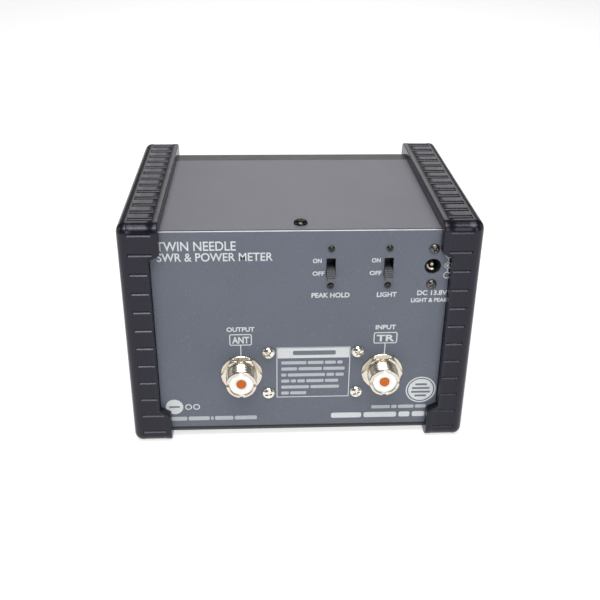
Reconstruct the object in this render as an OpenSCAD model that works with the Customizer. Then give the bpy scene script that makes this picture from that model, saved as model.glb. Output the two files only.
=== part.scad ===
// Cross-needle SWR and power meter: a bench instrument that goes in a radio's antenna feed line.
// Frame: +Z up, the meter face looks towards -Y and the rear panel towards +Y.
// The origin is on the surface it stands on, under the middle of the whole instrument.

/* [Case] */
// Width over the metal cover
case_w = 150; // [148:1:160]
// Height of the rear panel
case_h = 116; // [114:1:124]
// Depth from the bezel's face to the rear panel's face
case_d = 121.3; // [118:0.1:130]
// Thickness of the cover and chassis sheet
sheet = 1.2; // [0.8:0.1:1.2]
// Thickness of the rear panel
panel_t = 1.5; // [1.2:0.1:1.5]
// Depth of the plastic bezel round the front edge
bezel_d = 10.9; // [10.5:0.1:12]

/* [Bumpers] */
// Thickness of a bumper, outwards from the cover's side
bumper_t = 14.5; // [12:0.5:18]
// How far the lips reach in over the cover
lip_w = 5.7; // [4:0.1:8]
// How far the bumpers stand above and below the case
lip_h = 5.7; // [5:0.1:7]
// How far the bumpers stand behind the rear panel
bumper_back = 4.9; // [3:0.1:8]
// How far the bumpers stand in front of the bezel
bumper_front = 8.1; // [6:0.1:12]
// Radius of the bumpers' corners, seen from the side
bumper_r = 5.2; // [4.6:0.1:8]
// Distance from groove to groove along the top
top_pitch = 9.77; // [9:0.01:9.9]
// Distance from line to line down the ends
end_pitch = 10.46; // [10:0.01:10.6]

/* [Coaxial sockets] */
// Outside radius of the threaded barrel (5/8 inch thread)
barrel_r = 7.9375; // [7.9:0.0005:7.95]
// How far a barrel stands out of the rear panel
barrel_out = 11.5; // [11:0.1:13]
// Antenna socket, distance to the right of the middle
ant_x = 30.9; // [29:0.1:32]
// Transmitter socket, distance to the right of the middle
tr_x = -43.9; // [-45:0.1:-42]
// Distance of both sockets below the panel's top edge
socket_drop = 81.2; // [78:0.1:84]
// Bore of the centre contact
contact_bore = 2; // [1.95:0.01:2.05]

/* [Rear controls] */
// Hold switch, distance to the right of the middle
hold_x = -14.9; // [-20:0.1:-10]
// Light switch, distance to the right of the middle
light_x = -43.9; // [-48:0.1:-40]
// Power inlet, distance to the right of the middle
dc_x = -66.2; // [-66.2:0.1:-60]
// Distance of the switches and the inlet below the panel's top edge
control_drop = 19.7; // [18:0.1:24]
// Height of a switch's slot
slot_h = 9.8; // [9:0.1:11]
// Distance between a switch's two screws
switch_pitch = 20.4; // [20:0.1:22]

/* [Front] */
// Width of the meter window
window_w = 116; // [100:1:118]
// Height of the meter window
window_h = 75; // [65:1:76]
// How far the range knob stands out of the bezel
knob_out = 12.7; // [10:0.1:16]
// Range knob, distance to the right of the middle
range_x = 40; // [30:1:46]
// Push button, distance to the right of the middle
pep_x = -40; // [-46:1:-30]
// Distance of a needle's pivot from the middle
pivot_x = 30; // [28:1:32]
// Length of a needle from its pivot
needle_l = 72; // [60:1:72]
// Angle of a resting needle above the horizontal
needle_rest = 12; // [8:1:20]

/* [Hidden] */
$fn = 48;

// faces of the case
half_w = case_w / 2;
z_base = lip_h;
z_top = z_base + case_h;
y_panel = (case_d + knob_out - barrel_out) / 2;
y_face = y_panel - case_d;
y_back = y_panel - panel_t;
y_seam = y_face + bezel_d;
y_sub = y_seam + sheet;

// bumpers: middle and size of their outline seen from the side
bump_y = (y_panel + bumper_back + y_face - bumper_front) / 2;
bump_d = case_d + bumper_back + bumper_front;
bump_h = case_h + 2 * lip_h;
side_x = half_w + bumper_t;
recess = 3;
frame_d = 20;
frame_h = 22;
block_h = 11;
block_low_h = 12;
line_up = 1;
bumper_screw_y = 38;
bumper_screw_z = bump_h / 2;

// rear panel features: the tab under the cover's screw, and the lip on the chassis
cover_screw_y = y_panel - 10.3;
tab_w = 28;
tab_d = 15;
tab_front = 24;
lip_plate_w = 120;
lip_screw_x = 40;
lip_screw_y = y_back - 6;
z_socket = z_top - socket_drop;
z_control = z_top - control_drop;
slot_w = 4.6;
slider_w = 4.2;
slider_h = 4.5;
slider_gap = 0.2;
slider_out = 5.2;
dc_screw_pitch = 19.6;
jack_r = 3.15;

// coaxial sockets
shank_r = 7.6;
core_r = 6.4;
nut_t = 3.2;
fit = 0.02;

// coupler box, centred between its four screws
box_w = 106;
box_h = 34;
box_d = 30;
box_x = -6.5;
wall = 1.6;
coupler_screw_x = [16.7, -30.4];
coupler_screw_z = [z_top - 68.5, z_top - 93.6];
y_box = y_back - box_d;
board_gap = 3.5;
lid_screw_dx = box_w / 2 - 4.2;
lid_screw_dz = box_h / 2 - 4.2;
post_dx = 12;
post_dz = 10.5;
y_line = y_back - 16.5;

// meter: the window, the case behind it and the planes of the dial and the needles
window_z = z_base + 34;
meter_w = window_w + 5;
meter_h = window_h + 9.5;
meter_z = window_z + window_h / 2 - 2.25;
y_lens = y_face + 2.5;
lens_t = 2;
y_case = y_lens + lens_t;
y_dial = y_face + 15;
y_mover = y_dial + 7.2;
y_meter_end = y_dial + 26.2;
pivot_z = window_z + 7;
ring_r = 8.5;
ring_in = 6.2;
iron_r = 3.8;
arbor_r = 0.55;
pivot_hole = 0.6;
zero_z = window_z - 6.5;
zero_r = 2.6;

// controls under the meter
control_z = z_base + 15.5;
shaft_r = 3;
shaft_bore = 3.05;

// circuit board
board_z = z_base + 10;
board_t = 1.6;
board_y = y_panel - 56;
board_w = 124;
board_d = 44;
board_screw_x = board_w / 2 - 6;
board_screw_y = board_d / 2 - 5;

// a box given by its low and high corners
module block(low, high) {
  translate(low) cube(high - low);
}

// a cylinder along Y from y1 to y2
module rod_y(x, z, y1, y2, r) {
  translate([x, y1, z]) rotate([-90, 0, 0]) cylinder(r = r, h = y2 - y1);
}

// a cylinder along X from x1 to x2
module rod_x(y, z, x1, x2, r) {
  translate([x1, y, z]) rotate([0, 90, 0]) cylinder(r = r, h = x2 - x1);
}

// a plate standing across Y with rounded corners
module plate_y(x, z, w, h, y1, y2, r) {
  translate([x, y2, z]) rotate([90, 0, 0]) linear_extrude(y2 - y1) rounded(w, h, r);
}

// a rounded rectangle round the origin, made of two bars and four discs
module rounded(w, h, r) {
  square([w - 2 * r, h], center = true);
  square([w, h - 2 * r], center = true);
  for (sx = [-1, 1], sz = [-1, 1])
    translate([sx * (w / 2 - r), sz * (h / 2 - r)]) circle(r);
}

// the cross recess of a screw, sunk into a head whose top is at z = 0
module cross(w, deep) {
  for (a = [0, 90])
    rotate(a) translate([-w / 2, -w / 7, -deep]) cube([w, w / 3.5, deep + 1]);
}

// a pan-head screw: its head stands on z = 0 and its shank goes down
module screw(head_r, head_h, r, len) {
  difference() {
    union() {
      cylinder(r = head_r, h = head_h * 0.6);
      translate([0, 0, head_h * 0.6]) cylinder(r1 = head_r, r2 = head_r * 0.72, h = head_h * 0.4);
      translate([0, 0, -len]) cylinder(r = r, h = len);
    }
    translate([0, 0, head_h]) rotate(25) cross(head_r * 1.15, head_h * 0.6);
  }
}

// a screw whose head stands on a face that looks towards +Y
module screw_back(x, y, z, head_r, head_h, r, len) {
  translate([x, y, z]) rotate([-90, 0, 0]) screw(head_r, head_h, r, len);
}

// a screw whose head stands on a face that looks towards -Y
module screw_front(x, y, z, head_r, head_h, r, len) {
  translate([x, y, z]) rotate([90, 0, 0]) screw(head_r, head_h, r, len);
}

// a wire through the given points
module wire(points, r) {
  for (i = [0 : len(points) - 2]) {
    step = points[i + 1] - points[i];
    length = norm(step);
    tilt = acos(step[2] / length);
    turn = atan2(step[1], step[0]);
    translate(points[i]) rotate([0, tilt, turn]) cylinder(r = r, h = length, $fn = 16);
  }
  for (i = [1 : len(points) - 2])
    translate(points[i]) sphere(r = r, $fn = 16);
}

// ---- case ----

// the sheet behind the sockets, with a tab for the cover's screw, side tabs and a bottom lip
module rear_panel() {
  color([0.40, 0.43, 0.49]) difference() {
    union() {
      block([0.3 - half_w, y_back, z_base], [half_w - 0.3, y_panel, z_top]);
      block([-tab_w / 2, y_back - tab_d, z_top - 2 * sheet], [tab_w / 2, y_back, z_top - sheet]);
      block([-lip_plate_w / 2, y_back - 12, z_base], [lip_plate_w / 2, y_back, z_base + sheet]);
      for (s = [-1, 1])
        translate([s * (half_w - 2 * sheet - 0.2), y_back - tab_d, bumper_screw_z])
          cube([sheet, 2 * tab_d, 25], center = true);
    }
    rear_holes();
    translate([0, cover_screw_y, z_top - 5]) cylinder(r = 1.5, h = 5);
    for (sx = [-1, 1])
      translate([sx * lip_screw_x, lip_screw_y, z_base - 1]) cylinder(r = 1.5, h = 4);
    rod_x(bump_y + bumper_screw_y, bumper_screw_z, -half_w, half_w, 1.97);
  }
}

// every opening in the flat of the rear panel
module rear_holes() {
  for (x = [ant_x, tr_x])
    rod_y(x, z_socket, y_back - 1, y_panel + 1, shank_r + 0.2);
  for (x = coupler_screw_x, z = coupler_screw_z)
    rod_y(x, z, y_back - 1, y_panel + 1, 2.15);
  for (x = [hold_x, light_x]) {
    block([x - slot_w / 2, y_back - 1, z_control - slot_h / 2],
      [x + slot_w / 2, y_panel + 1, z_control + slot_h / 2]);
    for (s = [-1, 1])
      rod_y(x, z_control + s * switch_pitch / 2, y_back - 1, y_panel + 1, 1.1);
  }
  rod_y(dc_x, z_control, y_back - 1, y_panel + 1, 4.15);
  for (s = [-1, 1])
    rod_y(dc_x, z_control + s * dc_screw_pitch / 2, y_back - 1, y_panel + 1, 1.6);
}

// bottom plate and the sub-panel that the meter and the controls hang on
module chassis() {
  inner = half_w - sheet - 0.1;
  color([0.30, 0.32, 0.36]) difference() {
    union() {
      block([-inner, y_seam, z_base - sheet], [inner, y_panel, z_base]);
      block([-inner + 0.1, y_seam, z_base], [inner - 0.1, y_sub, z_top - sheet - 0.2]);
      for (s = [-1, 1])
        translate([s * (inner - 0.1 - sheet / 2), y_sub + tab_front / 2, bumper_screw_z])
          cube([sheet, tab_front, 100], center = true);
      for (sx = [-1, 1], sy = [-1, 1])
        translate([sx * board_screw_x, board_y + sy * board_screw_y, z_base])
          cylinder(r = 3, h = board_z - z_base);
    }
    block([-meter_w / 2 - 0.2, y_seam - 1, meter_z - meter_h / 2 - 0.2],
      [meter_w / 2 + 0.2, y_sub + 1, meter_z + meter_h / 2 + 0.2]);
    rod_y(range_x, control_z, y_seam - 1, y_sub + 1, 4.6);
    rod_y(pep_x, control_z, y_seam - 1, y_sub + 1, 3);
    for (sx = [-1, 1], sz = [-1, 1])
      rod_y(sx * meter_screw_x(), meter_z + sz * meter_screw_z(), y_seam - 1, y_sub + 1, 1.02);
    for (sx = [-1, 1])
      translate([sx * lip_screw_x, lip_screw_y, z_base - 3]) cylinder(r = 1.7, h = 4);
    for (sx = [-1, 1], sy = [-1, 1])
      translate([sx * board_screw_x, board_y + sy * board_screw_y, z_base + 1])
        cylinder(r = 1.52, h = board_z);
    for (s = [-1, 1])
      rod_x(bump_y - bumper_screw_y, bumper_screw_z, -half_w, half_w, 1.97);
  }
}

// where the meter's flange is screwed to the sub-panel
function meter_screw_x() = meter_w / 2 + 2.2;
function meter_screw_z() = meter_h / 2 - 4;

// the inverted U over the top and down both sides
module top_cover() {
  color([0.52, 0.52, 0.55]) difference() {
    block([-half_w, y_seam, z_base - sheet], [half_w, y_back - 0.3, z_top]);
    block([-half_w + sheet, y_seam - 1, z_base - 2 * sheet],
      [half_w - sheet, y_panel, z_top - sheet]);
    translate([0, cover_screw_y, z_top - 5]) cylinder(r = 1.7, h = 10);
    for (s = [-1, 1])
      rod_x(bump_y + s * bumper_screw_y, bumper_screw_z, -half_w - 1, half_w + 1, 2.2);
  }
}

// moulded frame round the meter window, closed below for the controls
module front_bezel() {
  rim = 1.8;
  color([0.13, 0.13, 0.15]) difference() {
    block([-half_w, y_face, z_base - sheet], [half_w, y_seam, z_top]);
    block([-half_w + rim, y_lens, z_base - sheet + rim], [half_w - rim, y_seam + 1, z_top - rim]);
    block([-window_w / 2, y_face - 1, window_z], [window_w / 2, y_lens + 1, window_z + window_h]);
    rod_y(range_x, control_z, y_face - 1, y_lens + 1, 4.2);
    rod_y(pep_x, control_z, y_face - 1, y_lens + 1, 4.8);
    for (s = [-1, 1])
      rod_y(s * pivot_x, zero_z, y_face - 1, y_lens + 1, zero_r + 0.05);
  }
}

// a plate across X with the bumper's outline, drawn in by some amount
module bumper_slice(x1, x2, inset) {
  r = bumper_r - inset / 2;
  translate([x1, bump_y, bump_h / 2]) rotate([90, 0, 90])
    linear_extrude(x2 - x1) rounded(bump_d - 2 * inset, bump_h - 2 * inset, r);
}

// one ribbed bumper: a side plate whose lips hold the case's four long edges
module bumper() {
  color([0.17, 0.17, 0.19]) difference() {
    union() {
      hull() {
        bumper_slice(half_w, side_x - 4, 0, $fn = 32);
        bumper_slice(half_w, side_x - 1.2, 1.2, $fn = 32);
        bumper_slice(half_w, side_x, 4, $fn = 32);
      }
      bumper_slice(half_w - lip_w, half_w + 1, 0);
    }
    block([0, y_face, z_base - sheet], [half_w, y_panel, z_top]);
    bumper_windows();
    bumper_grooves();
    translate([side_x - recess, bump_y, bump_h / 2]) rotate([90, 0, 90])
      linear_extrude(recess + 1) rounded(bump_d - 2 * frame_d, bump_h - 2 * frame_h, 10);
    for (s = [-1, 1])
      rod_x(bump_y + s * bumper_screw_y, bumper_screw_z, half_w - 1, side_x, 2.1);
  }
}

// the open stretch between the corner blocks, at the back and at the front
module bumper_windows() {
  high = z_top - block_h;
  low = z_base + block_low_h;
  block([0, y_panel - 1, low], [half_w, y_panel + 20, high]);
  block([0, y_face - 20, low], [half_w, y_face + 1, high]);
}

// wide grooves along the top and bottom, thin lines down both ends
module bumper_grooves() {
  g1 = half_w - 2.3;
  g2 = side_x - 5.2;
  wide = 3.4;
  deep = 1.2;
  for (i = [-6 : 6], z = [0, bump_h])
    block([g1, bump_y + i * top_pitch - wide / 2, z - deep],
      [g2, bump_y + i * top_pitch + wide / 2, z + deep]);
  for (i = [0 : 11], y = [-bump_d / 2, bump_d / 2])
    translate([0, bump_y + y, bump_h / 2 + line_up + (i - 5.5) * end_pitch])
      block([half_w + 1.2, -0.8, -0.55], [g2, 0.8, 0.55]);
}

// bumper on the -X side
module bumper_left() {
  mirror([1, 0, 0]) bumper();
}

// bumper on the +X side
module bumper_right() {
  bumper();
}

// two screws through each bumper into the chassis
module bumper_screws() {
  color([0.12, 0.12, 0.13])
    for (sx = [0, 1], sy = [-1, 1])
      mirror([sx, 0, 0])
        translate([side_x - recess, bump_y + sy * bumper_screw_y, bumper_screw_z])
          rotate([0, 90, 0]) screw(3.5, 2.4, 1.95, bumper_t + 1);
}

// the screw that holds the cover to the rear panel's tab
module cover_screw() {
  color([0.10, 0.10, 0.11]) translate([0, cover_screw_y, z_top]) screw(3.5, 2.2, 1.48, 5);
}

// two screws under the rear panel's lip and four that hold the circuit board
module chassis_screws() {
  color([0.62, 0.62, 0.64]) {
    for (sx = [-1, 1])
      translate([sx * lip_screw_x, lip_screw_y, z_base - sheet]) rotate([180, 0, 0])
        screw(2.8, 1.8, 1.48, 4);
    for (sx = [-1, 1], sy = [-1, 1])
      translate([sx * board_screw_x, board_y + sy * board_screw_y, board_z + board_t])
        screw(2.8, 2, 1.5, 6);
  }
}

// ---- directional coupler ----

// shielded box behind the sockets, open towards the front
module coupler_box() {
  color([0.66, 0.66, 0.68]) difference() {
    union() {
      difference() {
        plate_y(box_x, z_socket, box_w, box_h, y_box, y_back, 2);
        plate_y(box_x, z_socket, box_w - 2 * wall, box_h - 2 * wall, y_box - 1, y_back - wall, 1);
      }
      for (x = coupler_screw_x, z = coupler_screw_z)
        rod_y(x, z, y_back - 8, y_back, 3.4);
      for (sx = [-1, 1], sz = [-1, 1])
        rod_y(box_x + sx * lid_screw_dx, z_socket + sz * lid_screw_dz, y_box, y_back, 3);
      for (sx = [-1, 1], sz = [-1, 1])
        rod_y(box_x + sx * post_dx, z_socket + sz * post_dz, y_box + board_gap + board_t, y_back, 2);
    }
    for (x = [ant_x, tr_x])
      rod_y(x, z_socket, y_back - 20, y_back + 1, shank_r + 0.2);
    for (x = coupler_screw_x, z = coupler_screw_z)
      rod_y(x, z, y_back - 7, y_back + 1, 2.02);
    for (sx = [-1, 1], sz = [-1, 1])
      rod_y(box_x + sx * lid_screw_dx, z_socket + sz * lid_screw_dz, y_box - 1, y_box + 8, 1.27);
  }
}

// the box's cover, with two holes for the leads
module coupler_lid() {
  color([0.70, 0.70, 0.72]) difference() {
    plate_y(box_x, z_socket, box_w, box_h, y_box - sheet, y_box, 2);
    for (sx = [-1, 1], sz = [-1, 1])
      rod_y(box_x + sx * lid_screw_dx, z_socket + sz * lid_screw_dz,
        y_box - 2, y_box + 1, 1.5);
    for (x = lead_x())
      rod_y(x, lead_z(), y_box - 2, y_box + 1, 1.3);
  }
}

// where the two detector leads leave the coupler
function lead_x() = [box_x - 14, box_x + 14];
function lead_z() = z_socket - 8;

// four screws through the rear panel and four in the lid
module coupler_screws() {
  color([0.78, 0.77, 0.74]) {
    for (x = coupler_screw_x, z = coupler_screw_z)
      screw_back(x, y_panel, z, 3.5, 2.5, 2, 8);
    for (sx = [-1, 1], sz = [-1, 1])
      screw_front(box_x + sx * lid_screw_dx, y_box - sheet, z_socket + sz * lid_screw_dz,
        2.3, 1.6, 1.25, 7);
  }
}

// the conductor from contact to contact, through the core
module coupler_line() {
  color([0.80, 0.50, 0.30]) {
    rod_x(y_line, z_socket, tr_x + 2, ant_x - 2, 1.5);
    for (x = [ant_x, tr_x])
      block([x - 2.5, y_line - 2, z_socket - 2.5], [x + 2.5, y_back - 12, z_socket + 2.5]);
  }
}

// the current transformer's ferrite ring round the line
module coupler_core() {
  color([0.22, 0.22, 0.24]) translate([box_x, y_line, z_socket]) rotate([0, 90, 0])
    rotate_extrude() translate([2.5, -4]) square([5, 8]);
}

// detector board with its resistors, diodes and trimmers
module coupler_board() {
  y1 = y_box + board_gap;
  color([0.20, 0.42, 0.26]) difference() {
    plate_y(box_x, z_socket, 90, 26, y1, y1 + board_t, 1);
    for (x = coupler_screw_x, z = coupler_screw_z)
      rod_y(x, z, y1 - 1, y1 + 3, 3.8);
  }
  color([0.25, 0.25, 0.28]) {
    for (i = [-3 : 3])
      block([box_x + i * 10 - 2.5, y1 - 2, z_socket + 3], [box_x + i * 10 + 2.5, y1, z_socket + 5]);
    for (s = [-1, 1])
      rod_y(box_x + s * 24, z_socket - 6, y1 - 2.5, y1, 3);
  }
}

// two shielded leads from the coupler down to the circuit board
module coupler_leads() {
  color([0.15, 0.15, 0.16])
    for (x = lead_x())
      wire([[x, y_box + board_gap, lead_z()], [x, y_box - 7, lead_z()],
        [x, y_box - 7, board_z + board_t]], 1.2);
}

// threaded shell of a coaxial socket, with notches in its rim
module socket_shell(x) {
  color([0.82, 0.80, 0.74]) translate([x, y_panel, z_socket]) rotate([-90, 0, 0]) difference() {
    union() {
      translate([0, 0, -panel_t - wall - 2]) cylinder(r = 10, h = 2);
      translate([0, 0, -panel_t - wall]) cylinder(r = shank_r, h = panel_t + wall + nut_t + 0.2);
      translate([0, 0, nut_t + 0.2]) cylinder(r = barrel_r, h = barrel_out - nut_t - 0.2);
    }
    translate([0, 0, -20]) cylinder(r = core_r, h = 40);
    for (a = [0 : 90 : 270])
      rotate(a) translate([core_r - 1, -1, barrel_out - 1.3]) cube([3, 2, 3]);
  }
}

// washer and nut that clamp a socket to the panel
module socket_nut(x) {
  color([0.80, 0.79, 0.75]) translate([x, y_panel, z_socket]) rotate([-90, 0, 0])
    difference() {
      union() {
        cylinder(r = 10.95, h = 0.9);
        translate([0, 0, 0.9]) cylinder(r = 10.9, h = nut_t - 0.9, $fn = 6);
      }
      translate([0, 0, -1]) cylinder(r = shank_r + 0.05, h = nut_t + 2);
    }
}

// plastic core that carries the centre contact
module socket_insulator(x) {
  color([0.93, 0.92, 0.88]) difference() {
    rod_y(x, z_socket, y_back - wall - 2, y_panel + barrel_out - 0.6, core_r - fit);
    rod_y(x, z_socket, y_back - 20, y_panel + 20, 2.5);
  }
}

// centre contact, bored for the plug's pin
module socket_contact(x) {
  tip = y_panel + barrel_out - 0.3;
  color([0.85, 0.55, 0.25]) difference() {
    rod_y(x, z_socket, y_back - 12, tip, 2.5 - fit);
    rod_y(x, z_socket, tip - 12, tip + 1, contact_bore);
  }
}

module ant_socket() { socket_shell(ant_x); }
module ant_nut() { socket_nut(ant_x); }
module ant_insulator() { socket_insulator(ant_x); }
module ant_contact() { socket_contact(ant_x); }
module tr_socket() { socket_shell(tr_x); }
module tr_nut() { socket_nut(tr_x); }
module tr_insulator() { socket_insulator(tr_x); }
module tr_contact() { socket_contact(tr_x); }

// ---- switches and power inlet on the rear panel ----

// body and mounting plate of a slide switch
module switch_body(x) {
  color([0.55, 0.55, 0.57]) difference() {
    union() {
      plate_y(x, z_control, 7.6, switch_pitch + 5, y_back - 0.8, y_back, 1.5);
      block([x - 4, y_back - 7.5, z_control - 7.5], [x + 4, y_back - 0.8, z_control + 7.5]);
      for (i = [-1 : 1])
        block([x - 0.7, y_back - 11, z_control + i * 4 - 0.3],
          [x + 0.7, y_back - 7.5, z_control + i * 4 + 0.3]);
    }
    block([x - slot_w / 2, y_back - 6.5, z_control - slot_h / 2],
      [x + slot_w / 2, y_panel, z_control + slot_h / 2]);
    for (s = [-1, 1])
      rod_y(x, z_control + s * switch_pitch / 2, y_back - 2, y_panel, 1.01);
  }
}

// ribbed slider at the bottom of its slot
module switch_slider(x) {
  z1 = z_control - slot_h / 2 + slider_gap;
  color([0.12, 0.12, 0.13]) difference() {
    block([x - slider_w / 2, y_back - 6.2, z1],
      [x + slider_w / 2, y_panel + slider_out, z1 + slider_h]);
    for (i = [1 : 3])
      block([x - slider_w, y_panel + slider_out - 0.6, z1 + i * slider_h / 4 - 0.25],
        [x + slider_w, y_panel + slider_out + 1, z1 + i * slider_h / 4 + 0.25]);
  }
}

module hold_switch() { switch_body(hold_x); }
module hold_slider() { switch_slider(hold_x); }
module light_switch() { switch_body(light_x); }
module light_slider() { switch_slider(light_x); }

// two small screws for each switch
module switch_screws() {
  color([0.13, 0.13, 0.14])
    for (x = [hold_x, light_x], s = [-1, 1])
      screw_back(x, y_panel, z_control + s * switch_pitch / 2, 1.75, 1.1, 1, 4);
}

// coaxial power inlet: a flange behind the panel and a round body
module dc_jack() {
  color([0.13, 0.13, 0.14]) difference() {
    union() {
      plate_y(dc_x, z_control, 8.4, dc_screw_pitch + 6, y_back - 1.2, y_back, 2);
      rod_y(dc_x, z_control, y_back - 14, y_back, 4.8);
    }
    rod_y(dc_x, z_control, y_back - 11, y_back + 1, jack_r);
    rod_y(dc_x, z_control, y_back - 15, y_back, 1.32);
    for (s = [-1, 1])
      rod_y(dc_x, z_control + s * dc_screw_pitch / 2, y_back - 2, y_panel, 1.52);
  }
}

// centre pin of the inlet, thicker where it is held
module dc_pin() {
  color([0.80, 0.78, 0.72]) {
    rod_y(dc_x, z_control, y_back - 17, y_back - 11, 1.3);
    rod_y(dc_x, z_control, y_back - 11, y_back - 1, 1.05);
  }
}

// sprung outer contact: a curved leaf along the lower side of the inlet's bore
module dc_spring() {
  color([0.80, 0.78, 0.72]) intersection() {
    difference() {
      rod_y(dc_x, z_control, y_back - 9.5, y_back - 0.5, jack_r - 0.03);
      rod_y(dc_x, z_control, y_back - 10, y_back, jack_r - 0.4);
    }
    translate([dc_x, y_back, z_control]) rotate([90, 0, 0])
      linear_extrude(12) polygon([[0, 0], [8, 1], [8, -8], [-3, -8]]);
  }
}

// two screws for the inlet
module dc_screws() {
  color([0.20, 0.20, 0.21])
    for (s = [-1, 1])
      screw_back(dc_x, y_panel, z_control + s * dc_screw_pitch / 2, 2.6, 1.8, 1.5, 5);
}

// ---- cross-needle meter ----

// tray behind the window, with a flange that is screwed to the sub-panel
module meter_case() {
  color([0.14, 0.14, 0.15]) difference() {
    union() {
      difference() {
        union() {
          plate_y(0, meter_z, meter_w, meter_h, y_case, y_meter_end, 1);
          plate_y(0, meter_z, meter_w + 9, meter_h, y_seam - 1.6, y_seam, 1);
        }
        plate_y(0, meter_z, meter_w - 3.2, meter_h - 3.2, y_case - 1, y_dial + 1, 0.5);
        plate_y(0, meter_z, meter_w - 6, meter_h - 6, y_dial, y_meter_end - 1.6, 0.5);
      }
      for (s = [-1, 1])
        rod_y(s * dial_screw_x(), dial_screw_z(), y_dial + 1, y_meter_end - 1, 2.2);
    }
    for (sx = [-1, 1], sz = [-1, 1])
      rod_y(sx * meter_screw_x(), meter_z + sz * meter_screw_z(), y_face, y_sub, 1.15);
    for (s = [-1, 1]) {
      rod_y(s * lamp_x(), lamp_z(), y_meter_end - 3, y_meter_end + 1, 3);
      rod_y(s * dial_screw_x(), dial_screw_z(), y_dial, y_dial + 4, 1);
    }
  }
}

// where the two lamps shine on the dial from behind
function lamp_x() = window_w / 2 - 10;
function lamp_z() = window_z + window_h - 12;

// clear window between the bezel and the meter's case
module meter_lens() {
  color([0.85, 0.90, 0.92, 0.35])
    plate_y(0, window_z + window_h / 2, window_w + 4, window_h + 4, y_lens, y_case, 1);
}

// four screws in the meter's flange and two in the dial's bottom corners
module meter_screws() {
  color([0.60, 0.60, 0.62]) {
    for (sx = [-1, 1], sz = [-1, 1])
      screw_front(sx * meter_screw_x(), y_seam - 1.6, meter_z + sz * meter_screw_z(),
        1.9, 1.2, 1, 4);
    for (s = [-1, 1])
      screw_front(s * dial_screw_x(), y_dial, dial_screw_z(), 1.6, 1, 0.98, 2.5);
  }
}

function dial_screw_x() = window_w / 2 - 5;
function dial_screw_z() = window_z + 3;

// the scale plate behind the needles
module dial_plate() {
  color([0.95, 0.94, 0.88]) difference() {
    plate_y(0, meter_z, meter_w - 3.6, meter_h - 3.6, y_dial, y_dial + 1, 0.5);
    for (s = [-1, 1]) {
      rod_y(s * pivot_x, pivot_z, y_dial - 1, y_dial + 2, 1.4);
      rod_y(s * dial_screw_x(), dial_screw_z(), y_dial - 1, y_dial + 2, 1);
    }
  }
}

// two lamps in holders through the back of the meter's case
module dial_lamps() {
  for (s = [-1, 1]) {
    color([0.75, 0.73, 0.68]) rod_y(s * lamp_x(), lamp_z(), y_meter_end - 6, y_meter_end + 3, 2.9);
    color([0.98, 0.96, 0.85]) rod_y(s * lamp_x(), lamp_z(), y_meter_end - 13, y_meter_end - 6, 2.2);
  }
}

// ring magnet with the fixed iron core held on two spokes
module magnet(x) {
  color([0.45, 0.45, 0.48]) translate([x, y_mover, pivot_z]) rotate([-90, 0, 0]) {
    difference() {
      cylinder(r = ring_r, h = 12);
      translate([0, 0, -1]) cylinder(r = ring_in, h = 14);
    }
    difference() {
      union() {
        cylinder(r = iron_r, h = 12);
        translate([-0.8, -ring_in - 0.5, 4]) cube([1.6, 2 * ring_in + 1, 4]);
      }
      translate([0, 0, -1]) cylinder(r = 0.9, h = 14);
    }
  }
}

// frame round the magnet that holds the pivots and stands on the case's back wall
module bridge(x) {
  reach = ring_r + 2.1;
  color([0.78, 0.66, 0.36]) difference() {
    union() {
      block([x - 3, y_dial + 2.6, pivot_z - reach], [x + 3, y_dial + 3.8, pivot_z + reach]);
      block([x - 3, y_meter_end - 4, pivot_z - reach], [x + 3, y_meter_end - 1.6, pivot_z + reach]);
      for (s = [-1, 1])
        translate([x - 3, y_dial + 2.6, pivot_z + s * (reach - 0.9) - 0.9])
          cube([6, y_meter_end - y_dial - 4.2, 1.8]);
    }
    rod_y(x, pivot_z, y_dial, y_meter_end - 2.6, pivot_hole);
  }
}

// coil frame round the core, with the arbor that carries the needle
module coil(x, y_tip) {
  y1 = y_mover - 1.8;
  y2 = y_mover + 13.8;
  color([0.75, 0.40, 0.20]) {
    difference() {
      block([x - 5.6, y1, pivot_z - 1.4], [x + 5.6, y2, pivot_z + 1.4]);
      block([x - 4.4, y1 + 1.2, pivot_z - 2], [x + 4.4, y2 - 1.2, pivot_z + 2]);
    }
    rod_y(x, pivot_z, y_tip, y1, arbor_r);
    rod_y(x, pivot_z, y2, y_meter_end - 2.7, arbor_r);
  }
}

// needle that points towards +X from the pivot at the origin, with its balance tail
module needle() {
  difference() {
    union() {
      rotate([90, 0, 0]) linear_extrude(0.5, center = true)
        polygon([[-12, -1.6], [-12, 1.6], [-6, 0.8], [0, 0.8], [needle_l, 0.2],
          [needle_l, -0.2], [0, -0.8], [-6, -0.8]]);
      rod_y(0, 0, -0.25, 0.25, 2.2);
    }
    rod_y(0, 0, -1, 1, arbor_r);
  }
}

module forward_magnet() { magnet(pivot_x); }
module forward_bridge() { bridge(pivot_x); }
module forward_coil() { coil(pivot_x, y_dial - 4.5); }
module reflected_magnet() { magnet(-pivot_x); }
module reflected_bridge() { bridge(-pivot_x); }
module reflected_coil() { coil(-pivot_x, y_dial - 7.5); }

// the forward needle lies to the left and rises clockwise
module forward_needle() {
  color([0.10, 0.10, 0.10]) translate([pivot_x, y_dial - 4, pivot_z])
    mirror([1, 0, 0]) rotate([0, -needle_rest, 0]) needle();
}

// the reflected needle lies to the right, in front of the other one
module reflected_needle() {
  color([0.75, 0.12, 0.10]) translate([-pivot_x, y_dial - 7, pivot_z])
    rotate([0, -needle_rest, 0]) needle();
}

// flat spiral of half rings round the arbor, behind the front bridge
module hairspring(x) {
  grow = 0.35;
  color([0.70, 0.68, 0.60]) translate([x, y_dial + 4.2, pivot_z]) rotate([-90, 0, 0])
    linear_extrude(0.4)
      for (i = [0 : 8])
        translate([(i % 2) * grow, 0]) half_ring(1.5 + i * grow, i % 2);
}

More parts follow.
